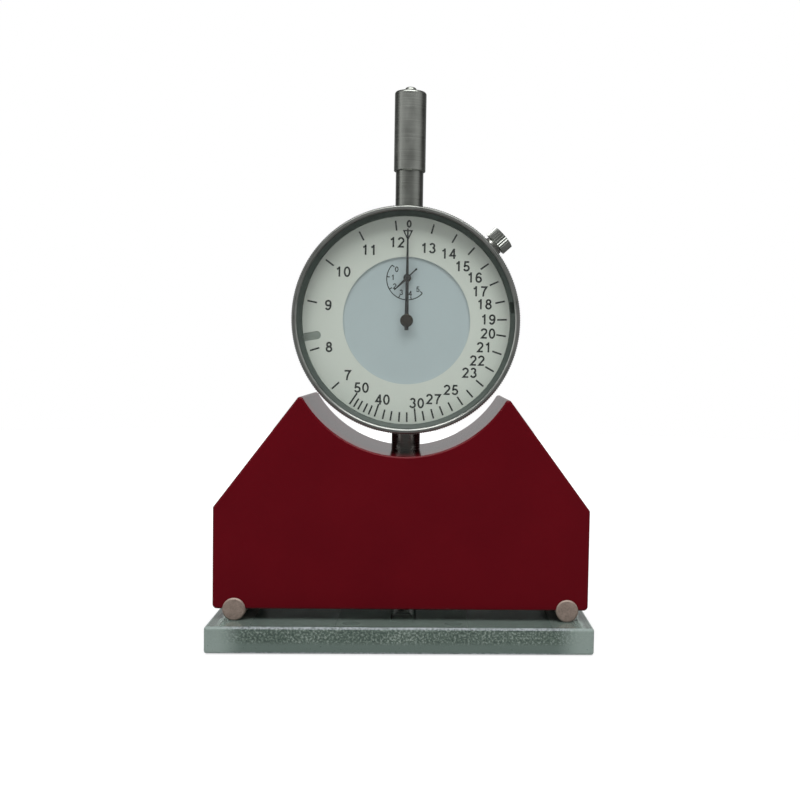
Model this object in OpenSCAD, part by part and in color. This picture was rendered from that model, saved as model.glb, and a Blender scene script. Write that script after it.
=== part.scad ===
// Mesh tension gauge. A dial indicator stands in the saddle of a trapezoid block on two support
// rods. A sprung measuring bar between the rods drives the indicator, and the gauge stands on
// the glass plate that it is set to zero on.
// Millimetres: X runs across the block, Y from front to back and Z up from the table.

/* [Setting plate] */
// Thickness of the glass setting plate
plate_h = 7; // [5:0.5:12]
// How far the plate shows past each side of the block
plate_side_margin = 0.7; // [0.5:0.1:6]
// How far the plate shows past the front and the back of the block
plate_end_margin = 8; // [4:0.5:20]
// Ground bevel along the plate's edges
plate_bevel = 0.6; // [0.2:0.1:1.5]

/* [Block] */
// Width of the block
block_w = 100; // [92:1:130]
// Depth of the block from front to back
block_d = 44; // [40:1:60]
// Height of the upright sides
shoulder_h = 27; // [24:0.5:32]
// Height of the two crests above the block's underside
crest_h = 56.4; // [52:0.2:60]
// Width of the flat on top of each crest
crest_flat = 1; // [0.6:0.1:3]
// Height of the saddle's floor above the block's underside
saddle_floor_h = 41; // [38:0.5:48]
// How much larger the saddle's radius is than the bezel's
saddle_margin = 0.6; // [0.3:0.1:3]
// Radius of the two lower corners
foot_corner_r = 1.2; // [0.6:0.1:3]
// Bevel along the front and back edges
edge_bevel = 0.6; // [0.2:0.1:1.5]

/* [Support rods] */
// Diameter of the support rods and of the measuring bar
rod_d = 6; // [5:0.5:8]
// Distance from the block's side to a rod's axis
rod_inset = 5.7; // [5:0.1:12]
// How far a rod's end stands out of the block's face
rod_proud = 0.6; // [0:0.1:2]
// Bevel on the ends of rods and pins
pin_bevel = 0.3; // [0.1:0.1:0.6]

/* [Measuring bar] */
// How far the bar's ends lie behind the block's faces
bar_setback = 13; // [9:0.5:14]
// How far the ends of the carriage that holds the bar lie behind the block's faces
carriage_setback = 9.5; // [7:0.5:11]
// Travel of the measuring bar from flush to its lower stop
travel = 2.4; // [1:0.1:3]
// Thickness of the cover that closes the block's underside
cover_t = 2; // [1.5:0.1:3]
// Width of that cover
cover_w = 36; // [32:1:50]
// Width of the carriage
carriage_w = 16; // [12:0.5:20]
// Thickness of the carriage
carriage_t = 7.6; // [6:0.2:9]
// Width of the carriage's web in the cover's slot
web_w = 6.4; // [6.2:0.1:8]
// Length of the two force springs with the bar flush
force_spring_len = 9; // [7:0.5:10]
// Diameter of the guide pins
guide_pin_d = 3; // [2:0.1:3.4]
// Wall of the guide bushes
bush_wall = 1; // [0.6:0.1:1.2]

/* [Indicator stem and tube] */
// Diameter of the lower stem
stem_d = 8; // [7:0.1:9.5]
// Diameter of the upper tube
tube_d = 7.7; // [6.5:0.1:9]
// Diameter of the spindle
spindle_d = 4; // [3.6:0.1:4.6]
// Diameter of the stem's clamping screw
stem_screw_d = 4; // [3:0.5:5]
// Length of the upper tube that shows between the bezel and the dust cap
tube_show = 11.15; // [4:0.05:20]
// Diameter of the dust cap
cap_d = 8.8; // [8.5:0.1:12]
// Length of the dust cap without its dome
cap_len = 22; // [20:0.5:40]
// Length of the tube inside the dust cap
cap_grip = 5; // [3:0.5:8]

/* [Case] */
// Gap between the bezel and the saddle's floor
rim_gap = 5.5; // [3:0.1:12]
// Wall of the indicator's case
case_wall = 2; // [1.5:0.1:3]
// Distance from the stem's axis to the back of the case
case_back = 8; // [7.5:0.1:12]
// Thickness of the back cover
back_cover_t = 1.5; // [1:0.1:3]
// Thickness of the gasket under the back cover
gasket_t = 0.4; // [0.2:0.1:1]

/* [Bezel] */
// Outer diameter of the bezel
bezel_d = 61.4; // [58:0.2:70]
// Distance from the stem's axis to the bezel's front
bezel_front = 17.5; // [17.2:0.1:20]
// Wall of the bezel's skirt
skirt_wall = 1.7; // [1.3:0.1:2.5]
// Width of the ledge that the crystal rests on
ledge_w = 1; // [0.6:0.1:1.5]
// Depth of the fine knurl round the bezel
knurl_depth = 0.25; // [0.1:0.05:0.4]
// Number of ridges of that knurl
knurl_count = 120; // [90:10:240]
// Thickness of the crystal
crystal_t = 1.4; // [1:0.1:1.8]
// Gap between the ends of the split ring that holds the crystal
split_gap = 3; // [1:0.5:6]

/* [Bezel clamp] */
// Angle of the clamp screw above the horizontal
clamp_angle = 42.3; // [30:0.1:80]
// Diameter of the clamp's knurled knob
knob_d = 7; // [5:0.1:9]
// Length of the knob
knob_len = 3.4; // [2:0.1:6]
// Number of ridges of the knob
knob_ridges = 30; // [16:1:40]

/* [Dial] */
// Radius of the inner disc as far as it shows inside the dial ring
inner_dial_r = 17.2; // [14:0.1:20]
// Thickness of the dial sheets
dial_t = 0.5; // [0.3:0.1:0.6]
// Length of the main pointer from its axis
pointer_len = 24.6; // [18:0.1:26]
// Width of the main pointer at its hub
pointer_root_w = 1.1; // [0.6:0.05:1.6]
// Width of the main pointer at its tip
pointer_tip_w = 0.4; // [0.2:0.05:0.6]
// Length of the main pointer's tail from its axis
pointer_tail = 2.6; // [2.2:0.1:6]
// Width of that tail
pointer_tail_w = 1.1; // [1:0.1:2]
// Length of the small hand from its axis
small_hand_len = 4.9; // [3:0.1:6]
// Reading of the small dial with the bar flush, in turns
rest_turns = 2.4; // [0:0.1:5]

/* [Gear train] */
// Teeth of the pinion that the rack turns
rack_pinion_teeth = 16; // [14:1:20]
// Pitch of the rack's teeth
rack_pitch = 0.625; // [0.5:0.005:0.7]
// Teeth of the main gear and of the counter gear
gear_teeth = 100; // [90:1:110]
// Teeth of the pinion on the pointer's arbor
centre_teeth = 10; // [8:1:12]
// Module of the gears at the pointer
gear_module = 0.21; // [0.18:0.01:0.22]
// Thickness of the gears
gear_t = 0.6; // [0.4:0.1:1]
// Radius of the arbors
arbor_r = 0.8; // [0.6:0.05:0.9]
// Radius of the arbors' pivots
pivot_r = 0.5; // [0.3:0.05:0.6]

/* [Hidden] */

$fn = 96;
big_fn = 180;
wire_fn = 24;
ball_fn = 32;

// Clearances
run_gap = 0.03;
slide_gap = 0.3;
slot_gap = 0.4;
stop_gap = 0.05;
bezel_gap = 0.1;
ridge_clear = 0.05;
cut = 0.5;

// Heights in the block
rod_r = rod_d / 2;
under_z = plate_h + rod_r;
shoulder_z = under_z + shoulder_h;
crest_z = under_z + crest_h;
saddle_z = under_z + saddle_floor_h;
bezel_r = bezel_d / 2;
saddle_r = bezel_r + saddle_margin;
saddle_axis_z = saddle_z + saddle_r;
crest_in_x = sqrt(saddle_r * saddle_r - (saddle_axis_z - crest_z) * (saddle_axis_z - crest_z));
crest_out_x = crest_in_x + crest_flat;
rod_x = block_w / 2 - rod_inset;

// Mechanism in the block
bar_len = block_d - 2 * bar_setback;
slot_w = web_w + 2 * slot_gap;
slot_len = bar_len + 2 * slot_gap;
cover_end = 3.1;
web_setback = 1.5;
web_len = bar_len - 2 * web_setback;
bush_edge = 0.5;
cover_top_z = under_z + cover_t;
carriage_z = cover_top_z + travel + stop_gap;
carriage_top_z = carriage_z + carriage_t;
carriage_len = block_d - 2 * carriage_setback;
guide_pin_y = carriage_len / 2 - bush_edge - guide_pin_d / 2 - bush_wall;
pocket_w = carriage_w + 2 * slide_gap;
pocket_d = carriage_len + 2 * slide_gap;
cover_d = pocket_d + 2 * cover_end;
pocket_top_z = carriage_top_z + force_spring_len;
web_z = under_z + rod_r / 2;
bush_r = guide_pin_d / 2 + bush_wall;
guide_pin_bite = 6;
guide_pin_foot_z = under_z + rod_r + slide_gap;
cover_screw_edge = 4;
cover_screw_x = cover_w / 2 - cover_screw_edge;
cover_screw_y = cover_d / 2 - cover_screw_edge;
cover_screw_r = 1.25;
cover_screw_hole = 9;
cover_screw_end_gap = 1;
force_wire_r = 0.35;
force_coil_over = 0.1;
force_coil_r = bush_r + force_coil_over;
force_turns = 4;
force_rings = 16;
force_sides = 6;
anvil_r = 2.5;
anvil_h = 1;
bar_screw_end_gap = 1;
bar_screw_r = 1;
bar_screw_head_r = 1.8;
bar_screw_bush_gap = 0.45;
bar_screw_y = guide_pin_y - bush_r - bar_screw_head_r - bar_screw_bush_gap;
bar_screw_head_h = 2;

// Stem, spindle and tube
stem_r = stem_d / 2;
tube_r = tube_d / 2;
spindle_r = spindle_d / 2;
bore_r = spindle_r + run_gap;
stem_seat_t = 2;
stem_seat_z = pocket_top_z + stem_seat_t;
stem_seat_r = 3;
stem_screw_z = (stem_seat_z + saddle_z) / 2;
stem_screw_len = 10;
anvil_z = carriage_top_z + anvil_h;
tip_r = 1.5;
contact_len = 7;
contact_neck = 3;
contact_cone_share = 0.8;
spindle_foot_z = anvil_z + contact_len;
dial_z = saddle_z + rim_gap + bezel_r;
cap_z = dial_z + bezel_r + tube_show;
tube_top_z = cap_z + cap_grip;
head_h = 5;
head_step = 0.9;
head_r = spindle_r + head_step;
cap_edge = 0.6;
cap_wall_top = 1.5;
cap_dome_r = 1.6;
cap_dome_h = 1.3;
spindle_over_tube = 7;
spindle_top_z = tube_top_z + spindle_over_tube;

// Radii and depths of the indicator, told as distances in front of the stem's axis
skirt_r = bezel_r - skirt_wall;
view_r = skirt_r - ledge_w;
bezel_back = 9.2;
ring_t = 1;
ring_setback = 0.5;
ring_front = bezel_front - ring_setback;
crystal_front = ring_front - ring_t;
crystal_back = crystal_front - crystal_t;
dial_front = 12.6;
spigot_r = skirt_r - bezel_gap;
dial_seat_gap = 0.2;
spigot_front = dial_front - dial_t - dial_seat_gap;
spigot_step = 0.9;
case_r = spigot_r - spigot_step;
case_in_r = case_r - case_wall;
wire_r = 0.35;
wire_front = 10.5;
rim_bevel = 0.8;
face_bevel = 0.7;
seat_step = 0.15;
seat_r = skirt_r + seat_step;
lip_r = seat_r + seat_step;
boss_r = 2.4;
boss_in = 2;
front_boss_at = case_in_r - boss_in;
boss_hole_start = 1;
rear_boss_t = 5;
rear_boss_hole = 4;
front_boss_angles = [60, 180, 300];
rear_boss_angles = [45, 135, 225, 315];
stem_boss_r = 6.5;
stem_boss_t = 2;
screw_r = 0.8;
screw_head_r = 1.6;
screw_slot_w = 0.4;
plate_screw_len = 5;
pillar_hole = 3;
pillar_bite = 2.5;
cover_bite = 3.5;
gasket_inset = 0.2;

// Movement plates
plate_t = 1.2;
front_plate_front = 11.6;
front_plate_back = front_plate_front - plate_t;
rear_plate_t = 1;
rear_plate_back = 4;
rear_plate_front = rear_plate_back + rear_plate_t;
rear_plate_r = front_boss_at - boss_r - slot_gap;
pillar_r = 2;
pillar_at = [[17, 0], [-17, 2], [14, -15]];
bridge_front = -2.6;
bridge_t = 1.2;
bridge_half = 2.5;
bridge_reach = 7.5;
spacer_r = 1.3;
spacer_off = 2.8;

// Gear train: the rack turns the first arbor, whose gear turns the pointer's pinion, and that
// pinion turns the counter gear of the small hand
addendum = 0.8;
dedendum = 1.2;
tip_share = 0.19;
root_share = 0.42;
rack_module = rack_pitch / PI;
rack_pinion_r = rack_module * rack_pinion_teeth / 2;
gear_r = gear_module * gear_teeth / 2;
centre_r = gear_module * centre_teeth / 2;
arbor_gap = gear_r + centre_r;
rack_line_x = -1.008;
first_x = rack_line_x - rack_pinion_r;
first_y = -sqrt(arbor_gap * arbor_gap - first_x * first_x);
first_dir = atan2(-first_y, -first_x);
centre_turn = first_dir + 180;
centre_pitch = 360 / centre_teeth;
counter_lead = 90 - centre_turn - centre_pitch * round((90 - centre_turn) / centre_pitch);
half_tooth = 180 / gear_teeth;
first_turn = first_dir + half_tooth;
counter_turn = 270 + counter_lead * centre_teeth / gear_teeth + half_tooth;
gear_front = 8.2;
pinion_front = gear_front + 0.5;
pinion_len = gear_t + 1;
gear_hub_r = 2;
gear_hub_len = 1;
rack_len = 12.5;
rack_width = 3.2;

// Hairspring of the counter arbor
hair_in_r = 1.42;
hair_out_r = 6;
hair_turns = 5;
hair_steps = 24;
hair_t = 0.12;
hair_w = 0.4;
hair_front = 6.3;
collet_r = 1.35;
stud_r = 0.5;
stud_x = -hair_out_r - hair_t - stud_r;
collet_back = 0.2;

// Spindle's arm and return spring
arm_y = 13;
arm_half = 2;
arm_reach = 9;
arm_collar_wall = 1.5;
arm_collar_r = spindle_r + arm_collar_wall;
arm_pin_x = 7;
arm_pin_r = 0.6;
arm_pin_past = 0.6;
arm_pin_front = rear_plate_front + arm_pin_past;
post_y = -18;
post_r = 0.6;
return_coil_r = 1.3;
return_wire_r = 0.15;
return_turns = 16;
return_rings = 8;
return_sides = 4;
post_over = 1;

// Hands
hub_r = 1.75;
hub_front = 14.45;
hub_head_t = 0.45;
blade_t = 0.15;
blade_hub_step = 0.1;
hub_neck_r = 1;
hub_neck_front = hub_front - hub_head_t;
neck_len = 0.5;
small_hub_r = 1.05;
small_hub_t = 0.5;
small_blade_at = 0.15;
small_hand_root = 0.8;
small_hand_tip = 0.24;
small_tail = 3.3;
small_tail_w = 0.35;
small_tail_end_r = 0.3;
small_hand_front = 13.2;
small_zero = 137.9;
small_step = 36;
small_turn = small_zero + small_step * rest_turns;

// Bezel clamp, told as distances from the dial's axis
clamp_front = 6.2;
clamp_boss_r = 2.8;
claw_sink = 0.25;
claw_in = bezel_r - claw_sink;
claw_t = 0.8;
claw_w = 5;
washer_t = 0.7;
washer_r = 2.7;
knob_neck = 0.75;
knob_neck_r = 2.2;
claw_back = 3;
knob_bevel = 0.3;
shank_r = 1;
shank_len = 4.5;
key_angle = 190.3;
key_w = 2.2;
key_len = 4.6;
key_in = view_r - key_len;
key_sink = 0.1;
dial_foot_x = 10.2;
dial_foot_y = -5;
dial_foot_len = 1;
dial_lap = 0.6;
dial_lap_gap = 0.05;
ring_gap_angle = 8;

echo(dial_height = dial_z, cap_top = cap_z + cap_len + cap_dome_h, gear_gap = arbor_gap);

// Puts its children in the dial's frame: X right, Y up and Z towards the reader
module dial_frame(front = 0) {
    translate([0, -front, dial_z]) rotate([90, 0, 0]) children();
}

// Puts its children on the clamp screw's axis, with Z pointing out from the dial's axis
module clamp_frame() {
    dial_frame(clamp_front) rotate([0, 0, clamp_angle]) rotate([0, 90, 0]) children();
}

// A bevelled pin that stands on z = 0
module pin(r, len, bevel = pin_bevel) {
    rotate_extrude() polygon([
        [0, 0], [r - bevel, 0], [r, bevel], [r, len - bevel], [r - bevel, len], [0, len]
    ]);
}

module tube(r_out, r_in, len) {
    difference() {
        cylinder(r = r_out, h = len);
        translate([0, 0, -cut]) cylinder(r = r_in, h = len + 2 * cut);
    }
}

// A countersunk screw whose head is flush with z = 0 and whose shank points down
module flat_screw(r, head_r, len) {
    difference() {
        union() {
            translate([0, 0, r - head_r]) cylinder(r1 = r, r2 = head_r, h = head_r - r);
            translate([0, 0, -len]) cylinder(r = r, h = len);
        }
        translate([-head_r, -screw_slot_w / 2, -screw_slot_w])
            cube([2 * head_r, screw_slot_w, 2 * screw_slot_w]);
    }
}

module flat_screw_hole(r, head_r, len) {
    translate([0, 0, r - head_r]) cylinder(r1 = r, r2 = head_r, h = head_r - r);
    translate([0, 0, -len]) cylinder(r = r, h = len);
    cylinder(r = head_r, h = cut);
}

// Corners of a spur gear's outline, with straight flanks
function gear_points(teeth, module_size) = let (
    pitch_r = module_size * teeth / 2,
    tip = pitch_r + addendum * module_size,
    root = pitch_r - dedendum * module_size,
    tip_half = tip_share * PI * module_size / 2 / tip * 180 / PI,
    root_half = root_share * PI * module_size / 2 / root * 180 / PI
) [
    for (i = [0 : teeth - 1], c = [[root, -root_half], [tip, -tip_half], [tip, tip_half], [root, root_half]])
        let (a = 360 * i / teeth + c[1]) [c[0] * cos(a), c[0] * sin(a)]
];

// A gear between two depths, turned so that a tooth points along turn
module gear(teeth, module_size, thick, bore, turn) {
    difference() {
        rotate([0, 0, turn]) linear_extrude(thick) polygon(gear_points(teeth, module_size));
        translate([0, 0, -cut]) cylinder(r = bore, h = thick + 2 * cut);
    }
}

// Points of a ring of a round wire that climbs along a helix
function coil_ring(coil_r, rise, wire, sides, a) = let (
    slope = atan2(rise, 2 * PI * coil_r),
    mid = [coil_r * cos(a), coil_r * sin(a), rise * a / 360],
    out = [cos(a), sin(a), 0],
    up = [sin(slope) * sin(a), -sin(slope) * cos(a), cos(slope)]
) [for (s = [0 : sides - 1]) mid + wire * (cos(360 * s / sides) * out + sin(360 * s / sides) * up)];

// A coil spring that stands on z = 0 and ends at z = len
module coil(coil_r, wire, len, turns, rings, sides) {
    rise = (len - 2 * wire) / turns;
    count = turns * rings;
    points = [for (i = [0 : count]) each coil_ring(coil_r, rise, wire, sides, 360 * i / rings)];
    walls = [
        for (i = [0 : count - 1], s = [0 : sides - 1]) let (
            t = (s + 1) % sides, a = i * sides + s, b = i * sides + t
        ) each [[a, b, b + sides], [a, b + sides, a + sides]]
    ];
    ends = [
        [for (s = [0 : sides - 1]) sides - 1 - s],
        [for (s = [0 : sides - 1]) count * sides + s]
    ];
    translate([0, 0, wire]) polyhedron(points, concat(walls, ends), convexity = 10);
}

// Knurled outline: a circle of pointed ridges
function knurl_points(r, depth, count) = [
    for (i = [0 : count - 1], c = [[r, 0], [r - depth, 0.5]])
        let (a = 360 * (i + c[1]) / count) [c[0] * cos(a), c[0] * sin(a)]
];

// Outline of the block's front face, with the saddle cut out
module block_outline() {
    difference() {
        polygon([
            [-block_w / 2, under_z], [block_w / 2, under_z], [block_w / 2, shoulder_z],
            [crest_out_x, crest_z], [-crest_out_x, crest_z], [-block_w / 2, shoulder_z]
        ]);
        translate([0, saddle_axis_z]) circle(r = saddle_r, $fn = big_fn);
        for (side = [-1, 1])
            translate([side * block_w / 2, under_z]) difference() {
                square(2 * foot_corner_r, center = true);
                translate([-side * foot_corner_r, foot_corner_r]) circle(r = foot_corner_r);
            }
    }
}

// Cuts the bevel along a straight edge of the outline, from a to b
module edge_cut(a, b) {
    edge = b - a;
    side = edge_bevel * sqrt(2);
    for (y = [-block_d / 2, block_d / 2])
        translate([a[0], y, a[1]]) rotate([0, -atan2(edge[1], edge[0]), 0]) rotate([45, 0, 0])
            translate([-edge_bevel, -side / 2, -side / 2]) cube([norm(edge) + 2 * edge_bevel, side, side]);
}

module saddle_edge_cut() {
    for (y = [-block_d / 2, block_d / 2])
        translate([0, y, saddle_axis_z]) rotate([90, 0, 0]) rotate_extrude($fn = big_fn)
            translate([saddle_r, 0]) rotate([0, 0, 45]) square(edge_bevel * sqrt(2), center = true);
}

module body_block() {
    color("#5a0a16") difference() {
        translate([0, block_d / 2, 0]) rotate([90, 0, 0]) linear_extrude(block_d) block_outline();
        for (s = [-1, 1]) {
            edge_cut([s * block_w / 2, under_z], [s * block_w / 2, shoulder_z]);
            edge_cut([s * block_w / 2, shoulder_z], [s * crest_out_x, crest_z]);
            edge_cut([s * crest_out_x, crest_z], [s * crest_in_x, crest_z]);
        }
        saddle_edge_cut();
        rod_grooves();
        mechanism_pocket();
        stem_bores();
    }
}

module rod_grooves() {
    for (s = [-1, 1])
        translate([s * rod_x, -block_d, under_z]) rotate([-90, 0, 0]) cylinder(r = rod_r, h = 2 * block_d);
}

module mechanism_pocket() {
    translate([-cover_w / 2, -cover_d / 2, under_z - cut]) cube([cover_w, cover_d, cover_t + cut]);
    translate([-pocket_w / 2, -pocket_d / 2, under_z])
        cube([pocket_w, pocket_d, pocket_top_z - under_z]);
    for (y = [-guide_pin_y, guide_pin_y])
        translate([0, y, pocket_top_z - cut]) cylinder(r = guide_pin_d / 2, h = guide_pin_bite + cut);
    for (x = [-cover_screw_x, cover_screw_x], y = [-cover_screw_y, cover_screw_y])
        translate([x, y, under_z]) cylinder(r = cover_screw_r, h = cover_screw_hole);
}

module stem_bores() {
    translate([0, 0, pocket_top_z - cut]) cylinder(r = stem_seat_r, h = stem_seat_t + 2 * cut);
    translate([0, 0, stem_seat_z]) cylinder(r = stem_r, h = saddle_z);
    translate([0, 0, stem_screw_z]) rotate([-90, 0, 0]) cylinder(r = stem_screw_d / 2, h = block_d);
}

module support_rod(side) {
    color("#a59a92") translate([side * rod_x, -block_d / 2 - rod_proud, under_z]) rotate([-90, 0, 0])
        pin(rod_r, block_d + 2 * rod_proud);
}

module support_rod_left() {
    support_rod(-1);
}

module support_rod_right() {
    support_rod(1);
}

module bottom_cover() {
    color("#8f8f8a") difference() {
        translate([-cover_w / 2, -cover_d / 2, under_z]) cube([cover_w, cover_d, cover_t]);
        translate([-slot_w / 2, -slot_len / 2, under_z - cut]) cube([slot_w, slot_len, cover_t + 2 * cut]);
        at_cover_screws() flat_screw_hole(cover_screw_r, 2 * cover_screw_r, cover_screw_hole);
    }
}

module at_cover_screws() {
    for (x = [-cover_screw_x, cover_screw_x], y = [-cover_screw_y, cover_screw_y])
        translate([x, y, under_z]) rotate([180, 0, 0]) children();
}

module bottom_cover_screws() {
    color("#55554f") at_cover_screws()
        flat_screw(cover_screw_r, 2 * cover_screw_r, cover_screw_hole - cover_screw_end_gap);
}

module guide_pins() {
    color("#b4b4ae") for (y = [-guide_pin_y, guide_pin_y])
        translate([0, y, guide_pin_foot_z])
            pin(guide_pin_d / 2, pocket_top_z + guide_pin_bite - guide_pin_foot_z);
}

module force_springs() {
    color("#9a9a96") for (y = [-guide_pin_y, guide_pin_y])
        translate([0, y, carriage_top_z]) coil(
            force_coil_r, force_wire_r, force_spring_len, force_turns, force_rings, force_sides
        );
}

module stem_clamp_screw() {
    color("#3c3c3c") translate([0, stem_r, stem_screw_z]) rotate([-90, 0, 0]) difference() {
        pin(stem_screw_d / 2, stem_screw_len);
        translate([0, 0, stem_screw_len - stem_screw_d / 2])
            cylinder(r = stem_screw_d / 4, h = stem_screw_d, $fn = 6);
    }
}

module setting_plate() {
    w = block_w + 2 * plate_side_margin;
    d = block_d + 2 * plate_end_margin;
    side = plate_bevel * sqrt(2);
    color("#8fb0a4") difference() {
        translate([-w / 2, -d / 2, 0]) cube([w, d, plate_h]);
        for (z = [0, plate_h], y = [-d / 2, d / 2])
            translate([0, y, z]) rotate([45, 0, 0]) cube([w + 2 * cut, side, side], center = true);
        for (z = [0, plate_h], x = [-w / 2, w / 2])
            translate([x, 0, z]) rotate([0, 45, 0]) cube([side, d + 2 * cut, side], center = true);
        for (x = [-w / 2, w / 2], y = [-d / 2, d / 2])
            translate([x, y, plate_h / 2]) rotate([0, 0, 45])
                cube([side, side, plate_h + 2 * cut], center = true);
    }
}

module measuring_bar() {
    color("#a8a8a2") difference() {
        translate([0, -bar_len / 2, under_z]) rotate([-90, 0, 0]) pin(rod_r, bar_len);
        for (y = [-bar_screw_y, bar_screw_y])
            translate([0, y, under_z]) cylinder(r = bar_screw_r, h = rod_d);
    }
}

module bar_carriage() {
    color("#b9b9b2") difference() {
        union() {
            translate([-carriage_w / 2, -carriage_len / 2, carriage_z])
                cube([carriage_w, carriage_len, carriage_t]);
            translate([-web_w / 2, -web_len / 2, web_z]) cube([web_w, web_len, carriage_z - web_z + cut]);
        }
        translate([0, -block_d / 2, under_z]) rotate([-90, 0, 0]) cylinder(r = rod_r, h = block_d);
        for (y = [-guide_pin_y, guide_pin_y])
            translate([0, y, carriage_z - cut]) cylinder(r = bush_r, h = carriage_t + 2 * cut);
        for (y = [-guide_pin_y, guide_pin_y])
            translate([0, y, under_z]) cylinder(r = guide_pin_d / 2 + slide_gap, h = carriage_t);
        for (y = [-bar_screw_y, bar_screw_y]) {
            translate([0, y, under_z]) cylinder(r = bar_screw_r, h = carriage_top_z - under_z);
            translate([0, y, carriage_top_z - bar_screw_head_h])
                cylinder(r = bar_screw_head_r, h = bar_screw_head_h + cut);
        }
    }
}

module guide_bushes() {
    color("#b58a4a") for (y = [-guide_pin_y, guide_pin_y])
        translate([0, y, carriage_z]) tube(bush_r, guide_pin_d / 2 + run_gap, carriage_t);
}

module bar_screws() {
    color("#4a4a46") for (y = [-bar_screw_y, bar_screw_y]) difference() {
        union() {
            translate([0, y, under_z])
                cylinder(r = bar_screw_r, h = carriage_top_z - bar_screw_end_gap - under_z);
            translate([0, y, carriage_top_z - bar_screw_head_h])
                cylinder(r = bar_screw_head_r, h = bar_screw_head_h);
        }
        translate([0, y, carriage_top_z - bar_screw_head_h / 2])
            cylinder(r = bar_screw_head_r / 2, h = bar_screw_head_h, $fn = 6);
    }
}

module anvil() {
    color("#d0d0cc") translate([0, 0, carriage_top_z]) cylinder(r = anvil_r, h = anvil_h);
}

// Case: a tube with a front spigot for the bezel and bosses for plates and covers
module indicator_case() {
    color("#8a8d88") difference() {
        union() {
            dial_frame(-case_back) cylinder(r = case_r, h = case_back + bezel_back, $fn = big_fn);
            dial_frame(bezel_back) cylinder(r = spigot_r, h = spigot_front - bezel_back, $fn = big_fn);
            clamp_frame() cylinder(r = clamp_boss_r, h = claw_in);
        }
        case_hollow();
        wire_groove();
        translate([0, 0, dial_z - case_r - cut]) cylinder(r = stem_r, h = case_r);
        translate([0, 0, dial_z]) cylinder(r = tube_r, h = case_r + cut);
        clamp_frame() translate([0, 0, claw_in - shank_len])
            cylinder(r = shank_r + run_gap, h = shank_len + cut);
        front_screw_holes();
        dial_frame(-case_back) at_rear_bosses() cylinder(r = screw_r, h = rear_boss_hole);
    }
}

module case_hollow() {
    difference() {
        dial_frame(-case_back - cut)
            cylinder(r = case_in_r, h = case_back + spigot_front + 2 * cut, $fn = big_fn);
        for (a = front_boss_angles)
            dial_frame(rear_plate_front) rotate([0, 0, a]) boss(front_plate_back - rear_plate_front);
        dial_frame(-case_back) at_rear_bosses() translate([-front_boss_at, 0, 0]) boss(rear_boss_t);
        intersection() {
            translate([0, 0, dial_z - case_r]) cylinder(r = stem_boss_r, h = 2 * case_r);
            difference() {
                dial_frame(-case_back) cylinder(r = case_r, h = case_back + bezel_back);
                dial_frame(-case_back - cut)
                    cylinder(r = case_in_r - stem_boss_t, h = case_back + bezel_back + 2 * cut);
            }
        }
    }
}

// A screw boss that grows out of the case's wall
module boss(len) {
    translate([front_boss_at, 0, 0]) cylinder(r = boss_r, h = len);
    translate([front_boss_at, -boss_r, 0]) cube([2 * boss_r, 2 * boss_r, len]);
}

module at_rear_bosses() {
    for (a = rear_boss_angles) rotate([0, 0, a]) translate([front_boss_at, 0, 0]) children();
}

module front_screw_holes() {
    for (a = front_boss_angles)
        dial_frame(rear_plate_front + boss_hole_start) rotate([0, 0, a]) translate([front_boss_at, 0, 0])
            cylinder(r = screw_r, h = front_plate_front);
}

module wire_groove() {
    dial_frame(wire_front) rotate_extrude($fn = big_fn)
        translate([spigot_r + bezel_gap / 2, 0]) circle(r = wire_r + run_gap, $fn = wire_fn);
}

module bezel_spring_wire() {
    color("#6f726d") dial_frame(wire_front) rotate_extrude($fn = big_fn)
        translate([spigot_r + bezel_gap / 2, 0]) circle(r = wire_r, $fn = wire_fn);
}

module case_gasket() {
    color("#26282a") dial_frame(-case_back - gasket_t) difference() {
        tube(case_r - gasket_inset, front_boss_at - boss_r, gasket_t);
        at_rear_bosses() translate([0, 0, -cut]) cylinder(r = screw_r, h = gasket_t + 2 * cut);
    }
}

module back_cover() {
    back = case_back + gasket_t + back_cover_t;
    color("#8a8d88") dial_frame(-back) difference() {
        pin(case_r, back_cover_t, $fn = big_fn);
        rotate([0, 180, 0]) at_rear_bosses() flat_screw_hole(screw_r, screw_head_r, 2 * back_cover_t);
    }
}

module back_cover_screws() {
    back = case_back + gasket_t + back_cover_t;
    color("#55554f") dial_frame(-back) rotate([0, 180, 0]) at_rear_bosses()
        flat_screw(screw_r, screw_head_r, back_cover_t + gasket_t + cover_bite);
}

module lower_stem() {
    inner_end = dial_z - case_in_r + stem_boss_t;
    color("#9b9e99") translate([0, 0, stem_seat_z]) tube(stem_r, bore_r, inner_end - stem_seat_z);
}

module upper_tube() {
    inner_end = dial_z + case_in_r - stem_boss_t;
    color("#9b9e99") translate([0, 0, inner_end]) tube(tube_r, bore_r, tube_top_z - inner_end);
}

module dust_cap() {
    r = cap_d / 2;
    color("#a3a6a1") translate([0, 0, cap_z]) difference() {
        union() {
            rotate_extrude() polygon([
                [0, 0], [r - pin_bevel / 2, 0], [r, pin_bevel / 2], [r, cap_len - cap_edge],
                [r - cap_edge, cap_len], [0, cap_len]
            ]);
            translate([0, 0, cap_len - cut]) cylinder(r = cap_dome_r, h = cut + cap_dome_h / 2);
            translate([0, 0, cap_len + cap_dome_h / 2])
                cylinder(r1 = cap_dome_r, r2 = cap_dome_r / 2, h = cap_dome_h / 2);
        }
        translate([0, 0, -cut]) cylinder(r = tube_r + run_gap, h = cap_len - cap_wall_top + cut);
    }
}

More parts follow.
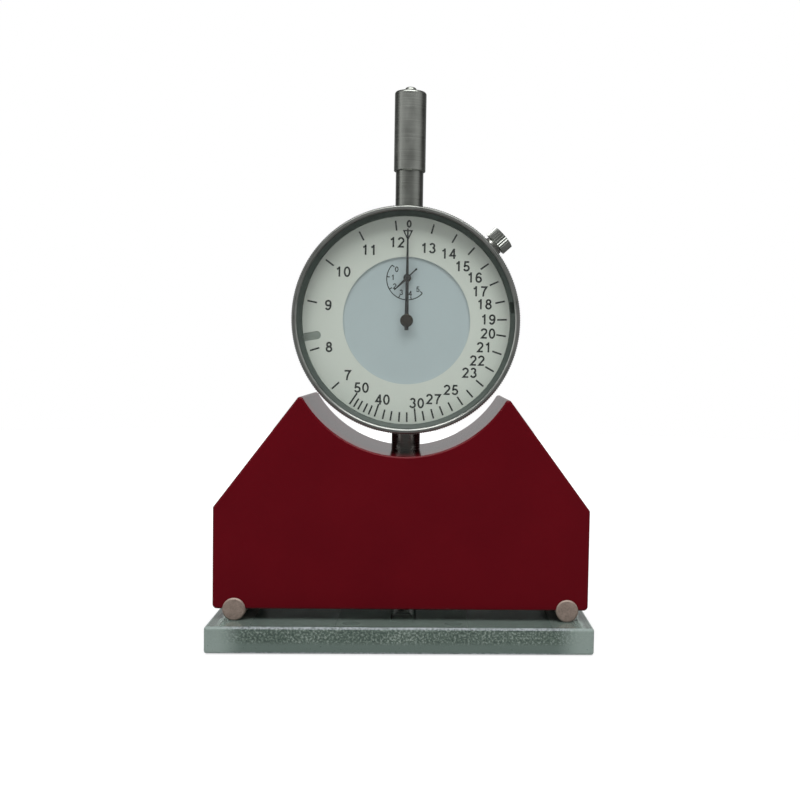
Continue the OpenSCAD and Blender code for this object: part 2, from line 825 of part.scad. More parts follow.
module front_plate() {
    color("#b08d57") dial_frame(front_plate_back) difference() {
        cylinder(r = case_in_r - slide_gap, h = plate_t, $fn = big_fn);
        for (p = [[0, 0], [0, arbor_gap], [first_x, first_y]])
            translate([p[0], p[1], -cut]) cylinder(r = pivot_r + run_gap, h = plate_t + 2 * cut);
        for (a = front_boss_angles)
            rotate([0, 0, a]) translate([front_boss_at, 0, plate_t])
                flat_screw_hole(screw_r, screw_head_r, 2 * plate_t);
        at_dial_feet() translate([0, 0, -cut]) cylinder(r = stud_r, h = plate_t + 2 * cut);
    }
}

module at_dial_feet() {
    for (x = [-dial_foot_x, dial_foot_x]) translate([x, dial_foot_y, 0]) children();
}

module front_plate_screws() {
    color("#55554f") for (a = front_boss_angles)
        dial_frame(front_plate_front) rotate([0, 0, a]) translate([front_boss_at, 0, 0])
            flat_screw(screw_r, screw_head_r, plate_screw_len);
}

module rear_plate() {
    arm_slot_len = travel + 2 * arm_pin_r + 2 * slot_gap;
    color("#b08d57") dial_frame(rear_plate_back) difference() {
        cylinder(r = rear_plate_r, h = rear_plate_t, $fn = big_fn);
        for (p = [[0, 0], [0, arbor_gap]])
            translate([p[0], p[1], -cut]) cylinder(r = pivot_r + run_gap, h = rear_plate_t + 2 * cut);
        translate([first_x, first_y, -cut]) cylinder(r = arbor_r + run_gap, h = rear_plate_t + 2 * cut);
        translate([arm_pin_x - arm_pin_r - run_gap, arm_y - travel - arm_pin_r - slot_gap, -cut])
            cube([2 * (arm_pin_r + run_gap), arm_slot_len, rear_plate_t + 2 * cut]);
        for (p = concat(pillar_at, spacer_at()))
            translate([p[0], p[1], -cut]) cylinder(r = screw_r, h = rear_plate_t + 2 * cut);
        translate([arm_pin_x, post_y, -cut]) cylinder(r = post_r, h = rear_plate_t + 2 * cut);
        translate([stud_x, arbor_gap, -cut]) cylinder(r = stud_r, h = rear_plate_t + 2 * cut);
    }
}

module plate_pillars() {
    color("#c0a068") for (p = pillar_at)
        dial_frame(rear_plate_front) translate([p[0], p[1], 0]) difference() {
            cylinder(r = pillar_r, h = front_plate_back - rear_plate_front);
            translate([0, 0, -cut]) cylinder(r = screw_r, h = pillar_hole + cut);
        }
}

module cheese_screw(len) {
    difference() {
        union() {
            translate([0, 0, -len]) cylinder(r = screw_r, h = len);
            cylinder(r = screw_head_r, h = screw_r);
        }
        translate([-screw_head_r, -screw_slot_w / 2, screw_r - screw_slot_w])
            cube([2 * screw_head_r, screw_slot_w, 2 * screw_slot_w]);
    }
}

module rear_plate_screws() {
    color("#55554f") for (p = pillar_at)
        dial_frame(rear_plate_back) translate([p[0], p[1], 0]) rotate([0, 180, 0])
            cheese_screw(rear_plate_t + pillar_bite);
}

// Places of the two spacers that hold the bridge behind the rear plate
function spacer_at() = [for (s = [-1, 1]) [first_x - bridge_reach, first_y + s * spacer_off]];

module rack_bridge() {
    color("#b08d57") dial_frame(bridge_front - bridge_t) difference() {
        union() {
            translate([first_x, first_y, 0]) cylinder(r = bridge_half, h = bridge_t);
            translate([first_x - bridge_reach, first_y - bridge_half, 0])
                cube([bridge_reach, 2 * bridge_half, bridge_t]);
            translate([first_x - bridge_reach, first_y, 0])
                cylinder(r = spacer_off + spacer_r, h = bridge_t);
        }
        translate([first_x, first_y, -cut]) cylinder(r = pivot_r + run_gap, h = bridge_t + 2 * cut);
        for (p = spacer_at()) translate([p[0], p[1], -cut]) cylinder(r = screw_r, h = bridge_t + 2 * cut);
    }
}

module bridge_spacers() {
    color("#c0a068") for (p = spacer_at())
        dial_frame(bridge_front) translate([p[0], p[1], 0])
            tube(spacer_r, screw_r, rear_plate_back - bridge_front);
}

module bridge_screws() {
    color("#55554f") for (p = spacer_at())
        dial_frame(bridge_front - bridge_t) translate([p[0], p[1], 0]) rotate([0, 180, 0])
            cheese_screw(bridge_t + rear_plate_back - bridge_front + rear_plate_t);
}

// Spindle with a rack cut in its left side
module spindle() {
    flat_x = rack_line_x - addendum * rack_module;
    deep_x = rack_line_x + dedendum * rack_module;
    tip_half = (1 - tip_share) * rack_pitch / 2;
    root_half = (1 - root_share) * rack_pitch / 2;
    mid_z = dial_z + first_y;
    steps = floor(rack_len / 2 / rack_pitch);
    color("#c2c4c0") difference() {
        translate([0, 0, spindle_foot_z]) cylinder(r = spindle_r, h = spindle_top_z - spindle_foot_z);
        translate([flat_x - spindle_r, -spindle_r - cut, mid_z - rack_len / 2])
            cube([spindle_r, spindle_d + 2 * cut, rack_len]);
        for (i = [-steps : steps])
            translate([0, rack_width, mid_z + i * rack_pitch]) rotate([90, 0, 0])
                linear_extrude(2 * rack_width) polygon([
                    [flat_x - cut, -tip_half], [flat_x, -tip_half], [deep_x, -root_half],
                    [deep_x, root_half], [flat_x, tip_half], [flat_x - cut, tip_half]
                ]);
    }
}

module contact_point() {
    neck_z = spindle_foot_z - contact_neck;
    ball_z = anvil_z + tip_r;
    color("#77787a") union() {
        translate([0, 0, neck_z]) cylinder(r = spindle_r, h = spindle_foot_z - neck_z);
        translate([0, 0, ball_z])
            cylinder(r1 = tip_r * contact_cone_share, r2 = spindle_r, h = neck_z - ball_z);
        translate([0, 0, ball_z]) sphere(r = tip_r, $fn = ball_fn);
    }
}

module spindle_head() {
    color("#b4b4ae") translate([0, 0, spindle_top_z]) pin(head_r, head_h);
}

module spindle_arm() {
    color("#b08d57") union() {
        translate([0, 0, dial_z + arm_y - arm_half]) difference() {
            union() {
                cylinder(r = arm_collar_r, h = 2 * arm_half);
                translate([0, -arm_half, 0]) cube([arm_reach, 2 * arm_half, 2 * arm_half]);
            }
            translate([0, 0, -cut]) cylinder(r = spindle_r, h = 2 * arm_half + 2 * cut);
        }
        dial_frame(arm_half - cut) translate([arm_pin_x, arm_y, 0])
            cylinder(r = arm_pin_r, h = arm_pin_front - arm_half + cut);
    }
}

module spring_post() {
    color("#77787a") dial_frame(-return_coil_r - post_over) translate([arm_pin_x, post_y, 0])
        cylinder(r = post_r, h = rear_plate_front + return_coil_r + post_over);
}

module return_spring() {
    foot_z = dial_z + post_y + post_r;
    spring_len = dial_z + arm_y - arm_half - foot_z;
    color("#9a9a96") translate([arm_pin_x, 0, foot_z])
        coil(return_coil_r, return_wire_r, spring_len, return_turns, return_rings, return_sides);
}

module rack_arbor() {
    pinion_half = rack_width / 2;
    color("#c2c4c0") union() {
        dial_frame(0) translate([first_x, first_y, 0]) {
            translate([0, 0, front_plate_back]) cylinder(r = pivot_r, h = plate_t - run_gap);
            translate([0, 0, bridge_front + stop_gap])
                cylinder(r = arbor_r, h = front_plate_back - bridge_front - 2 * stop_gap);
            translate([0, 0, front_plate_back - 2 * stop_gap]) cylinder(r = pivot_r, h = 2 * stop_gap);
            translate([0, 0, bridge_front - bridge_t + run_gap]) cylinder(r = pivot_r, h = bridge_t);
            translate([0, 0, bridge_front]) cylinder(r = pivot_r, h = 2 * stop_gap);
            translate([0, 0, -pinion_half]) linear_extrude(rack_width)
                polygon(gear_points(rack_pinion_teeth, rack_module));
        }
    }
}

// A gear pressed on an arbor, with a hub behind it
module train_gear(x, y, turn) {
    dial_frame(gear_front - gear_t) translate([x, y, 0]) {
        gear(gear_teeth, gear_module, gear_t, arbor_r, turn);
        translate([0, 0, -gear_hub_len]) tube(gear_hub_r, arbor_r, gear_hub_len + gear_t / 2);
    }
}

module main_gear() {
    color("#c9a24e") union() train_gear(first_x, first_y, first_turn);
}

module counter_gear() {
    color("#c9a24e") union() train_gear(0, arbor_gap, counter_turn);
}

// An arbor between the two plates, with a pivot at each end and a front end for a hand
module arbor(front_end) {
    translate([0, 0, rear_plate_front + stop_gap])
        cylinder(r = arbor_r, h = front_plate_back - rear_plate_front - 2 * stop_gap);
    translate([0, 0, rear_plate_back + run_gap])
        cylinder(r = pivot_r, h = front_end - rear_plate_back - run_gap);
}

module centre_arbor() {
    color("#c2c4c0") union() dial_frame(0) {
        arbor(hub_neck_front + hub_head_t / 2);
        translate([0, 0, pinion_front - pinion_len]) rotate([0, 0, centre_turn]) linear_extrude(pinion_len)
            polygon(gear_points(centre_teeth, gear_module));
    }
}

module counter_arbor() {
    color("#c2c4c0") union() dial_frame(0) translate([0, arbor_gap, 0]) arbor(small_hand_front);
}

module pointer_hub() {
    neck_back = hub_neck_front - blade_t - neck_len;
    color("#b58a4a") dial_frame(0) difference() {
        union() {
            translate([0, 0, hub_neck_front]) pin(hub_r, hub_head_t, hub_head_t / 3);
            translate([0, 0, neck_back])
                cylinder(r = hub_neck_r, h = hub_neck_front - neck_back + hub_head_t / 2);
        }
        translate([0, 0, neck_back - cut])
            cylinder(r = pivot_r, h = hub_neck_front + hub_head_t / 2 - neck_back + cut);
    }
}

module main_pointer() {
    color("#141618") dial_frame(hub_neck_front - blade_t) difference() {
        union() {
            cylinder(r = hub_r - blade_hub_step, h = blade_t);
            linear_extrude(blade_t) polygon([
                [pointer_root_w / 2, 0], [pointer_tip_w / 2, pointer_len],
                [-pointer_tip_w / 2, pointer_len], [-pointer_root_w / 2, 0]
            ]);
            linear_extrude(blade_t) polygon([
                [-pointer_tail_w / 2, 0], [-pointer_tail_w / 2, -pointer_tail],
                [pointer_tail_w / 2, -pointer_tail], [pointer_tail_w / 2, 0]
            ]);
        }
        translate([0, 0, -cut]) cylinder(r = hub_neck_r, h = blade_t + 2 * cut);
    }
}

module counter_hand() {
    color("#1c1f22") dial_frame(small_hand_front - small_hub_t) translate([0, arbor_gap, 0])
        rotate([0, 0, small_turn]) difference() {
            union() {
                cylinder(r = small_hub_r, h = small_hub_t);
                translate([0, 0, small_blade_at]) linear_extrude(blade_t) polygon([
                    [0, -small_hand_root / 2], [small_hand_len, -small_hand_tip / 2],
                    [small_hand_len, small_hand_tip / 2], [0, small_hand_root / 2]
                ]);
                translate([-small_tail, -small_tail_w / 2, small_blade_at])
                    cube([small_tail, small_tail_w, blade_t]);
                translate([-small_tail, 0, small_blade_at]) cylinder(r = small_tail_end_r, h = blade_t);
            }
            translate([0, 0, -cut]) cylinder(r = pivot_r, h = small_hub_t + 2 * cut);
        }
}

module hairspring_collet() {
    color("#b58a4a") dial_frame(hair_front - hair_w - collet_back) translate([0, arbor_gap, 0])
        tube(collet_r, arbor_r, hair_w + 2 * collet_back);
}

// Point of the hairspring's strip, at a share of its length and off its middle line
function hair_point(i, off) = let (
    a = 360 * i / hair_steps,
    r = hair_in_r + hair_t / 2 + (hair_out_r - hair_in_r) * i / (hair_turns * hair_steps) + off
) [r * cos(a), r * sin(a)];

module hairspring() {
    count = hair_turns * hair_steps;
    color("#6d7f9a") dial_frame(hair_front - hair_w) translate([0, arbor_gap, 0]) rotate([0, 0, 180])
        linear_extrude(hair_w) polygon(concat(
            [for (i = [0 : count]) hair_point(i, -hair_t / 2)],
            [for (i = [0 : count]) hair_point(count - i, hair_t / 2)]
        ));
}

module hairspring_stud() {
    color("#b58a4a") dial_frame(rear_plate_back) translate([stud_x, arbor_gap, 0])
        cylinder(r = stud_r, h = hair_front - rear_plate_back);
}

module inner_dial() {
    color("#a5b4bc") dial_frame(front_plate_front) {
        difference() {
            cylinder(r = inner_dial_r + dial_lap, h = dial_t - dial_lap_gap, $fn = big_fn);
            translate([0, 0, -cut]) cylinder(r = hub_neck_r + run_gap, h = dial_t + 2 * cut);
            translate([0, arbor_gap, -cut]) cylinder(r = small_hub_r + run_gap, h = dial_t + 2 * cut);
        }
        at_dial_feet() translate([0, 0, -dial_foot_len])
            cylinder(r = stud_r, h = dial_foot_len + dial_t / 2);
    }
}

module dial_ring() {
    color("#c8cdc3") dial_frame(dial_front - dial_t) difference() {
        cylinder(r = skirt_r - run_gap, h = dial_t, $fn = big_fn);
        translate([0, 0, -cut])
            cylinder(r = inner_dial_r, h = dial_t + 2 * cut, $fn = big_fn);
        translate([0, 0, -cut]) key_shape(key_w, dial_t + 2 * cut);
    }
}

// Outline of the ring's notch: a slot with a round inner end
module key_shape(width, thick) {
    rotate([0, 0, key_angle]) translate([key_in + key_w / 2, 0, 0]) {
        cylinder(r = width / 2, h = thick);
        translate([0, -width / 2, 0]) cube([skirt_r, width, thick]);
    }
}

// The small tab in the ring's notch that keeps the dial from turning in the bezel
module dial_key() {
    color("#7d817c") dial_frame(dial_front - dial_t) intersection() {
        cylinder(r = skirt_r, h = dial_t, $fn = big_fn);
        key_shape(key_w - 2 * run_gap, dial_t - key_sink);
    }
}

module bezel() {
    knurl_back = bezel_back + rim_bevel;
    knurl_front = bezel_front - face_bevel;
    rim_r = bezel_r - knurl_depth - ridge_clear;
    color("#8a8d88") difference() {
        union() {
            dial_frame(knurl_back) linear_extrude(knurl_front - knurl_back)
                polygon(knurl_points(bezel_r, knurl_depth, knurl_count));
            dial_frame(knurl_front)
                cylinder(r1 = rim_r, r2 = rim_r - face_bevel, h = face_bevel);
            dial_frame(bezel_back)
                cylinder(r1 = bezel_r - rim_bevel, r2 = rim_r, h = rim_bevel);
        }
        bezel_hollow();
        wire_groove();
    }
}

// What is bored out of the bezel: the skirt, the view, the crystal's seat and the lip
module bezel_hollow() {
    dial_frame(0) rotate_extrude($fn = big_fn) polygon([
        [0, 0], [skirt_r, 0], [skirt_r, dial_front], [view_r, dial_front], [view_r, crystal_back],
        [seat_r, crystal_back], [seat_r, ring_front], [lip_r, bezel_front - ring_t / 2],
        [lip_r, bezel_front + cut], [0, bezel_front + cut]
    ]);
}

module crystal() {
    color([0.86, 0.9, 0.88, 0.3]) dial_frame(crystal_back)
        cylinder(r = seat_r - run_gap, h = crystal_t, $fn = big_fn);
}

// The split ring that holds the crystal, with its gap to the right
module crystal_ring() {
    color("#3f4440") difference() {
        dial_frame(0) rotate_extrude($fn = big_fn) polygon([
            [view_r, crystal_front], [seat_r, crystal_front], [seat_r, ring_front],
            [skirt_r, ring_front], [view_r, crystal_front + ring_t / 3]
        ]);
        dial_frame(crystal_front - cut) rotate([0, 0, ring_gap_angle]) translate([0, -split_gap / 2, 0])
            cube([bezel_r, split_gap, ring_t + 2 * cut]);
    }
}

module clamp_claw() {
    front_reach = bezel_back + rim_bevel / 2 - clamp_front;
    color("#8a8d88") clamp_frame() translate([0, 0, claw_in]) difference() {
        translate([-front_reach, -claw_w / 2, 0]) cube([front_reach + claw_back, claw_w, claw_t]);
        translate([0, 0, -cut]) cylinder(r = shank_r + run_gap, h = claw_t + 2 * cut);
    }
}

module clamp_washer() {
    color("#c2c4c0") clamp_frame() translate([0, 0, claw_in + claw_t])
        tube(washer_r, shank_r + run_gap, washer_t);
}

module bezel_clamp_screw() {
    seat = claw_in + claw_t + washer_t;
    knob_in = seat + knob_neck;
    shank_in = claw_in - shank_len + stop_gap;
    color("#8a8d88") clamp_frame() union() {
        translate([0, 0, shank_in]) cylinder(r = shank_r, h = knob_in - shank_in);
        translate([0, 0, seat]) cylinder(r = knob_neck_r, h = knob_neck + knob_bevel);
        translate([0, 0, knob_in]) intersection() {
            linear_extrude(knob_len) polygon(knurl_points(knob_d / 2, knurl_depth, knob_ridges));
            pin(knob_d / 2 + ridge_clear, knob_len, knob_bevel + ridge_clear);
        }
    }
}

setting_plate();
body_block();
support_rod_left();
support_rod_right();
bottom_cover();
bottom_cover_screws();
guide_pins();
force_springs();
stem_clamp_screw();
measuring_bar();
bar_carriage();
guide_bushes();
bar_screws();
anvil();
indicator_case();
back_cover();
back_cover_screws();
case_gasket();
lower_stem();
upper_tube();
dust_cap();
front_plate();
rear_plate();
plate_pillars();
front_plate_screws();
rear_plate_screws();
rack_bridge();
bridge_spacers();
bridge_screws();
spindle();
contact_point();
spindle_head();
spindle_arm();
return_spring();
spring_post();
rack_arbor();
main_gear();
centre_arbor();
pointer_hub();
main_pointer();
counter_arbor();
counter_gear();
counter_hand();
hairspring_collet();
hairspring();
hairspring_stud();
inner_dial();
dial_ring();
dial_key();
bezel();
crystal();
crystal_ring();
bezel_spring_wire();
clamp_claw();
clamp_washer();
bezel_clamp_screw();
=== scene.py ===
"""Looks of a mesh tension gauge: a dial indicator in the saddle of a painted block, on a glass plate.

Everything is in metres in the row frame: X runs across the block, Y from the dial's side to the back
and Z up from the table. Classes hold their sizes in millimetres, and MM turns these into metres.
"""

import logging
import math
from collections.abc import Iterable, Sequence
from dataclasses import dataclass, field
from enum import Enum
from typing import ClassVar

import bmesh
import bpy
from mathutils import Matrix, Vector

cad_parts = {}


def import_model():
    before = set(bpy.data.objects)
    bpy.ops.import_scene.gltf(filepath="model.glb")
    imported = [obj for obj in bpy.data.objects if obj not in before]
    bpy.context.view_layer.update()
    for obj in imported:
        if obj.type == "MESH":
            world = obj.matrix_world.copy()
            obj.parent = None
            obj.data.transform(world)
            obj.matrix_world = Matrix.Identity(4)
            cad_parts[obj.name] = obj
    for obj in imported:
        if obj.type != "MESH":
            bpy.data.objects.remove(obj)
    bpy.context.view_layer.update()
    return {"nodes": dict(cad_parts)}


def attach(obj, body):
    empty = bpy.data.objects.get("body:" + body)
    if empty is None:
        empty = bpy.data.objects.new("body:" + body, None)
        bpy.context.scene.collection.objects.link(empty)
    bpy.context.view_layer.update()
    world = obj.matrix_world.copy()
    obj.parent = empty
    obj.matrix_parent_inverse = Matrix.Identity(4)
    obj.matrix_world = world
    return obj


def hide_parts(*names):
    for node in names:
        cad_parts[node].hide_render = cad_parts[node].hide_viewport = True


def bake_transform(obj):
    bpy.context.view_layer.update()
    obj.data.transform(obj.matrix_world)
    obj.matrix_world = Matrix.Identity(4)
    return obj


log = logging.getLogger("tension_gauge")

MM = 0.001
FULL_TURN = 2 * math.pi
Point2 = tuple[float, float]
Point3 = tuple[float, float, float]
Colour = tuple[float, float, float, float]
Faces = list[tuple[int, ...]]
Node = bpy.types.Node
Object = bpy.types.Object
Tree = bpy.types.NodeTree

# Blender's names of the nodes that most finishes use
NOISE = "ShaderNodeTexNoise"
RAMP = "ShaderNodeValToRGB"
MATHS = "ShaderNodeMath"
MIX = "ShaderNodeMix"
BUMP = "ShaderNodeBump"
PRINCIPLED = "ShaderNodeBsdfPrincipled"


class Body(Enum):
    """CAD bodies that pieces of the scene ride on."""

    GAUGE = "gauge_body"
    BEZEL = "bezel"
    POINTER = "pointer"
    CLAMP_SCREW = "clamp_screw"
    PLATE = "setting_plate"
    CAP = "dust_cap"
    SPINDLE = "spindle"
    BAR = "measuring_bar"


class Grain(Enum):
    """Direction of a turned or drawn metal's fine lines."""

    ALONG_Z = "rings stacked up the stem's axis"
    ROUND_DIAL = "rings about the dial's axis"


@dataclass(frozen=True)
class Places:
    """Places and radii that several pieces share, in millimetres, as in the CAD model."""

    dial_z: float = 87.2
    view_r: float = 28.0
    ring_face: float = 12.6
    disc_face: float = 12.05
    counter_up: float = 11.55
    clamp_angle: float = 42.3
    clamp_front: float = 6.2
    under_z: float = 10.0

    def dial(self, front: float = 0.0) -> Matrix:
        """Matrix from the dial's frame, X right, Y up and Z to the reader, to the row frame."""
        return Matrix(((1, 0, 0, 0), (0, 0, -1, -front * MM), (0, 1, 0, self.dial_z * MM), (0, 0, 0, 1)))

    def clamp(self) -> Matrix:
        """Matrix from the clamp screw's frame, Z out from the dial's axis, to the row frame."""
        turn = Matrix.Rotation(math.radians(self.clamp_angle), 4, "Z")
        return self.dial(self.clamp_front) @ turn @ Matrix.Rotation(math.radians(90), 4, "Y")


PLACES = Places()


# Node trees


def linear(hex_colour: str) -> Colour:
    """Turns an sRGB hex value into the linear colour that shaders take.

    Args:
        hex_colour: Six hex digits, such as "c8cdc3".

    Returns:
        Red, green, blue and full alpha, linear.
    """
    def channel(value: float) -> float:
        """Linear value of one sRGB channel."""
        return value / 12.92 if value <= 0.04045 else ((value + 0.055) / 1.055) ** 2.4

    red, green, blue = (channel(int(hex_colour[i:i + 2], 16) / 255) for i in (0, 2, 4))
    return red, green, blue, 1.0


def grey(value: float) -> Colour:
    """Linear grey with full alpha."""
    return value, value, value, 1.0


def per_grain(size_mm: float) -> float:
    """Scale of a pattern on metres whose grains have this size in millimetres."""
    return 1 / (size_mm * MM)


def add(tree: Tree, kind: str, inputs: dict[str | int, object] | None = None,
        stops: Sequence[tuple[float, Colour]] = (), **settings: object) -> Node:
    """Adds a node with its settings, values and links.

    Args:
        tree: Tree that takes the node.
        kind: The node's Blender type.
        inputs: Value, socket or node for each input, by name or index. A node gives its first output in use.
        stops: Position and colour of each stop of a colour ramp, from left to right.
        settings: Properties to set on the node.

    Returns:
        The new node.
    """
    node = tree.nodes.new(kind)
    for name, value in settings.items():
        setattr(node, name, value)
    for key, value in (inputs or {}).items():
        if isinstance(value, Node):
            value = next(socket for socket in value.outputs if socket.enabled)
        if isinstance(value, bpy.types.NodeSocket):
            tree.links.new(value, node.inputs[key])
        else:
            node.inputs[key].default_value = value
    if stops:
        elements = node.color_ramp.elements
        while len(elements) < len(stops):
            elements.new(0.5)
        for element, (position, colour) in zip(elements, stops):
            element.position, element.color = position, colour
    return node


# Finishes


@dataclass(frozen=True)
class Finish:
    """A finish of one of the gauge's pieces, made as a procedural material."""

    name: str
    done: ClassVar[dict[str, bpy.types.Material]] = {}

    def material(self) -> bpy.types.Material:
        """Makes the material, or finds it when an earlier piece has made it.

        Returns:
            The material.
        """
        if self.name not in self.done:
            made = self.done[self.name] = bpy.data.materials.new(self.name)
            made.use_nodes = True
            made.node_tree.nodes.clear()
            add(made.node_tree, "ShaderNodeOutputMaterial", {"Surface": self.surface(made.node_tree)})
        return self.done[self.name]

    def surface(self, tree: Tree) -> Node:
        """Builds the shader. Each finish has its own.

        Args:
            tree: Tree that takes the nodes.

        Returns:
            The shader's last node.
        """
        raise NotImplementedError(self.name)

    @staticmethod
    def place(tree: Tree, centre: Point3 = (0.0, 0.0, 0.0)) -> Node:
        """Gives the point of the surface in metres, measured from a centre.

        Args:
            tree: Tree that takes the nodes.
            centre: Centre in metres in the row frame.

        Returns:
            The node that gives the point.
        """
        source = add(tree, "ShaderNodeTexCoord").outputs["Object"]
        return add(tree, "ShaderNodeVectorMath", {0: source, 1: centre}, operation="SUBTRACT")


@dataclass(frozen=True)
class GlossEnamel(Finish):
    """Sprayed gloss enamel on cast aluminium: a smooth coat with a faint orange peel, 2 mm across.

    Seen from the front it is deep and even. Only its rounded edges and the grazing saddle mirror the light.
    """

    colour: str = "5a0812"
    shade: str = "560711"
    tint: str = "8c1a2a"
    rough: Point2 = (0.14, 0.22)
    coat: float = 0.25
    coat_rough: float = 0.12
    drift_mm: float = 22.0
    dust_mm: float = 0.5
    peel_mm: float = 2.2
    peel_depth_mm: float = 0.005

    def surface(self, tree: Tree) -> Node:
        """Deep colour under a clear coat.

        Args:
            tree: Tree that takes the nodes.

        Returns:
            The shader's last node.
        """
        at = self.place(tree)
        drift = add(tree, NOISE, {"Vector": at, "Scale": per_grain(self.drift_mm)})
        colour = add(tree, RAMP, {0: drift}, ((0.35, linear(self.shade)), (0.65, linear(self.colour))))
        dust = add(tree, NOISE, {"Vector": at, "Scale": per_grain(self.dust_mm), "Detail": 3.0})
        rough = add(tree, RAMP, {0: dust}, ((0.3, grey(self.rough[0])), (0.75, grey(self.rough[1]))))
        dimples = add(tree, NOISE, {"Vector": at, "Scale": per_grain(self.peel_mm), "Detail": 1.0})
        peel = add(tree, BUMP, {"Height": dimples, "Distance": self.peel_depth_mm * MM})
        return add(tree, PRINCIPLED, {
            "Base Color": colour, "Roughness": rough, "Specular IOR Level": 0.5, "Specular Tint": linear(self.tint),
            "Normal": peel, "Coat Weight": self.coat, "Coat Roughness": self.coat_rough, "Coat Normal": peel,
        })


@dataclass(frozen=True)
class TurnedMetal(Finish):
    """Satin metal with the fine lines that turning or drawing leaves.

    The real lines are about 0.1 mm apart. They are drawn at line_mm, as coarse as they need to show.
    """

    colour: str = "8d908b"
    shade: str = "7a7d78"
    grain: Grain = Grain.ALONG_Z
    roughness: float = 0.27
    line_mm: float = 0.35
    depth_mm: float = 0.003
    cloud_mm: float = 5.0

    def surface(self, tree: Tree) -> Node:
        """Metal whose tone, roughness and height vary across its lines.

        Args:
            tree: Tree that takes the nodes.

        Returns:
            The shader's last node.
        """
        rings = self.grain is Grain.ROUND_DIAL
        at = self.place(tree, (0.0, 0.0, PLACES.dial_z * MM if rings else 0.0))
        axes = add(tree, "ShaderNodeSeparateXYZ", {0: at}).outputs
        across = axes["Z"]
        if rings:
            flat = add(tree, "ShaderNodeCombineXYZ", {"X": axes["X"], "Z": axes["Z"]})
            across = add(tree, "ShaderNodeVectorMath", {0: flat}, operation="LENGTH")
        count = add(tree, MATHS, {0: across, 1: per_grain(self.line_mm)}, operation="MULTIPLY")
        lines = add(tree, NOISE, {"W": count, "Scale": 1.0, "Detail": 3.0, "Roughness": 0.6}, noise_dimensions="1D")
        cloud = add(tree, NOISE, {"Vector": at, "Scale": per_grain(self.cloud_mm), "Detail": 3.0})
        mixed = add(tree, MIX, {"Factor": 0.5, "A": lines, "B": cloud})
        colour = add(tree, RAMP, {0: mixed}, ((0.36, linear(self.shade)), (0.64, linear(self.colour))))
        rough = add(tree, RAMP, {0: mixed}, ((0.3, grey(self.roughness * 0.8)), (0.7, grey(self.roughness * 1.25))))
        bump = add(tree, BUMP, {"Height": lines, "Distance": self.depth_mm * MM})
        return add(tree, PRINCIPLED, {"Base Color": colour, "Metallic": 1.0, "Roughness": rough, "Normal": bump})


@dataclass(frozen=True)
class GroundSteel(Finish):
    """Sawn, ground or blasted metal: dull and mottled, with fine grains and patches five grains wide."""

    colour: str = "a3928a"
    shade: str = "85766d"
    metallic: float = 0.55
    roughness: float = 0.5
    grain_mm: float = 0.45
    patch_grains: float = 5.0
    depth_mm: float = 0.02

    def surface(self, tree: Tree) -> Node:
        """Dull metal with patches of two tones.

        Args:
            tree: Tree that takes the nodes.

        Returns:
            The shader's last node.
        """
        at = self.place(tree)
        grains = add(tree, NOISE, {"Vector": at, "Scale": per_grain(self.grain_mm), "Detail": 4.0, "Roughness": 0.6})
        patches = add(tree, NOISE, {"Vector": at, "Scale": per_grain(self.grain_mm * self.patch_grains)})
        mixed = add(tree, MIX, {"Factor": 0.45, "A": grains, "B": patches})
        colour = add(tree, RAMP, {0: mixed}, ((0.36, linear(self.shade)), (0.62, linear(self.colour))))
        rough = add(tree, RAMP, {0: grains}, ((0.3, grey(self.roughness * 0.85)), (0.7, grey(self.roughness * 1.15))))
        bump = add(tree, BUMP, {"Height": grains, "Distance": self.depth_mm * MM})
        return add(tree, PRINCIPLED, {
            "Base Color": colour, "Metallic": self.metallic, "Roughness": rough, "Normal": bump,
        })


@dataclass(frozen=True)
class Enamelled(Finish):
    """Printed, painted or enamelled sheet: matte, with a fine speckle of a quarter of a millimetre."""

    colour: str
    shade: str
    roughness: float = 0.55
    grain_mm: float = 0.28
    specular: float = 0.3
    depth_mm: float = 0.003

    def surface(self, tree: Tree) -> Node:
        """Matte colour with a fine speckle.

        Args:
            tree: Tree that takes the nodes.

        Returns:
            The shader's last node.
        """
        grains = add(tree, NOISE, {
            "Vector": self.place(tree), "Scale": per_grain(self.grain_mm), "Detail": 3.0, "Roughness": 0.6,
        })
        colour = add(tree, RAMP, {0: grains}, ((0.35, linear(self.shade)), (0.65, linear(self.colour))))
        bump = add(tree, BUMP, {"Height": grains, "Distance": self.depth_mm * MM})
        return add(tree, PRINCIPLED, {
            "Base Color": colour, "Roughness": self.roughness, "Specular IOR Level": self.specular, "Normal": bump,
        })


@dataclass(frozen=True)
class FloatGlass(Finish):
    """Soda-lime float glass with polished faces, and the green that iron gives it.

    A haze of fine scratches and handling keeps part of the light, so it is less than fully clear.
    """

    colour: str = "a9bbb2"
    roughness: float = 0.03
    clear: float = 0.72
    ior: float = 1.52
    smear_mm: float = 14.0
    wave_mm: float = 18.0
    wave_depth_mm: float = 0.01

    def surface(self, tree: Tree) -> Node:
        """Clear glass with the faint waviness and smears of a handled plate.

        Args:
            tree: Tree that takes the nodes.

        Returns:
            The shader's last node.
        """
        at = self.place(tree)
        smears = add(tree, NOISE, {"Vector": at, "Scale": per_grain(self.smear_mm), "Detail": 4.0, "Roughness": 0.6})
        rough = add(tree, RAMP, {0: smears}, ((0.4, grey(self.roughness)), (0.75, grey(self.roughness * 3))))
        waves = add(tree, NOISE, {"Vector": at, "Scale": per_grain(self.wave_mm), "Detail": 1.0})
        bump = add(tree, BUMP, {"Height": waves, "Distance": self.wave_depth_mm * MM})
        return add(tree, PRINCIPLED, {
            "Base Color": linear(self.colour), "Roughness": rough, "IOR": self.ior,
            "Transmission Weight": self.clear, "Normal": bump,
        })


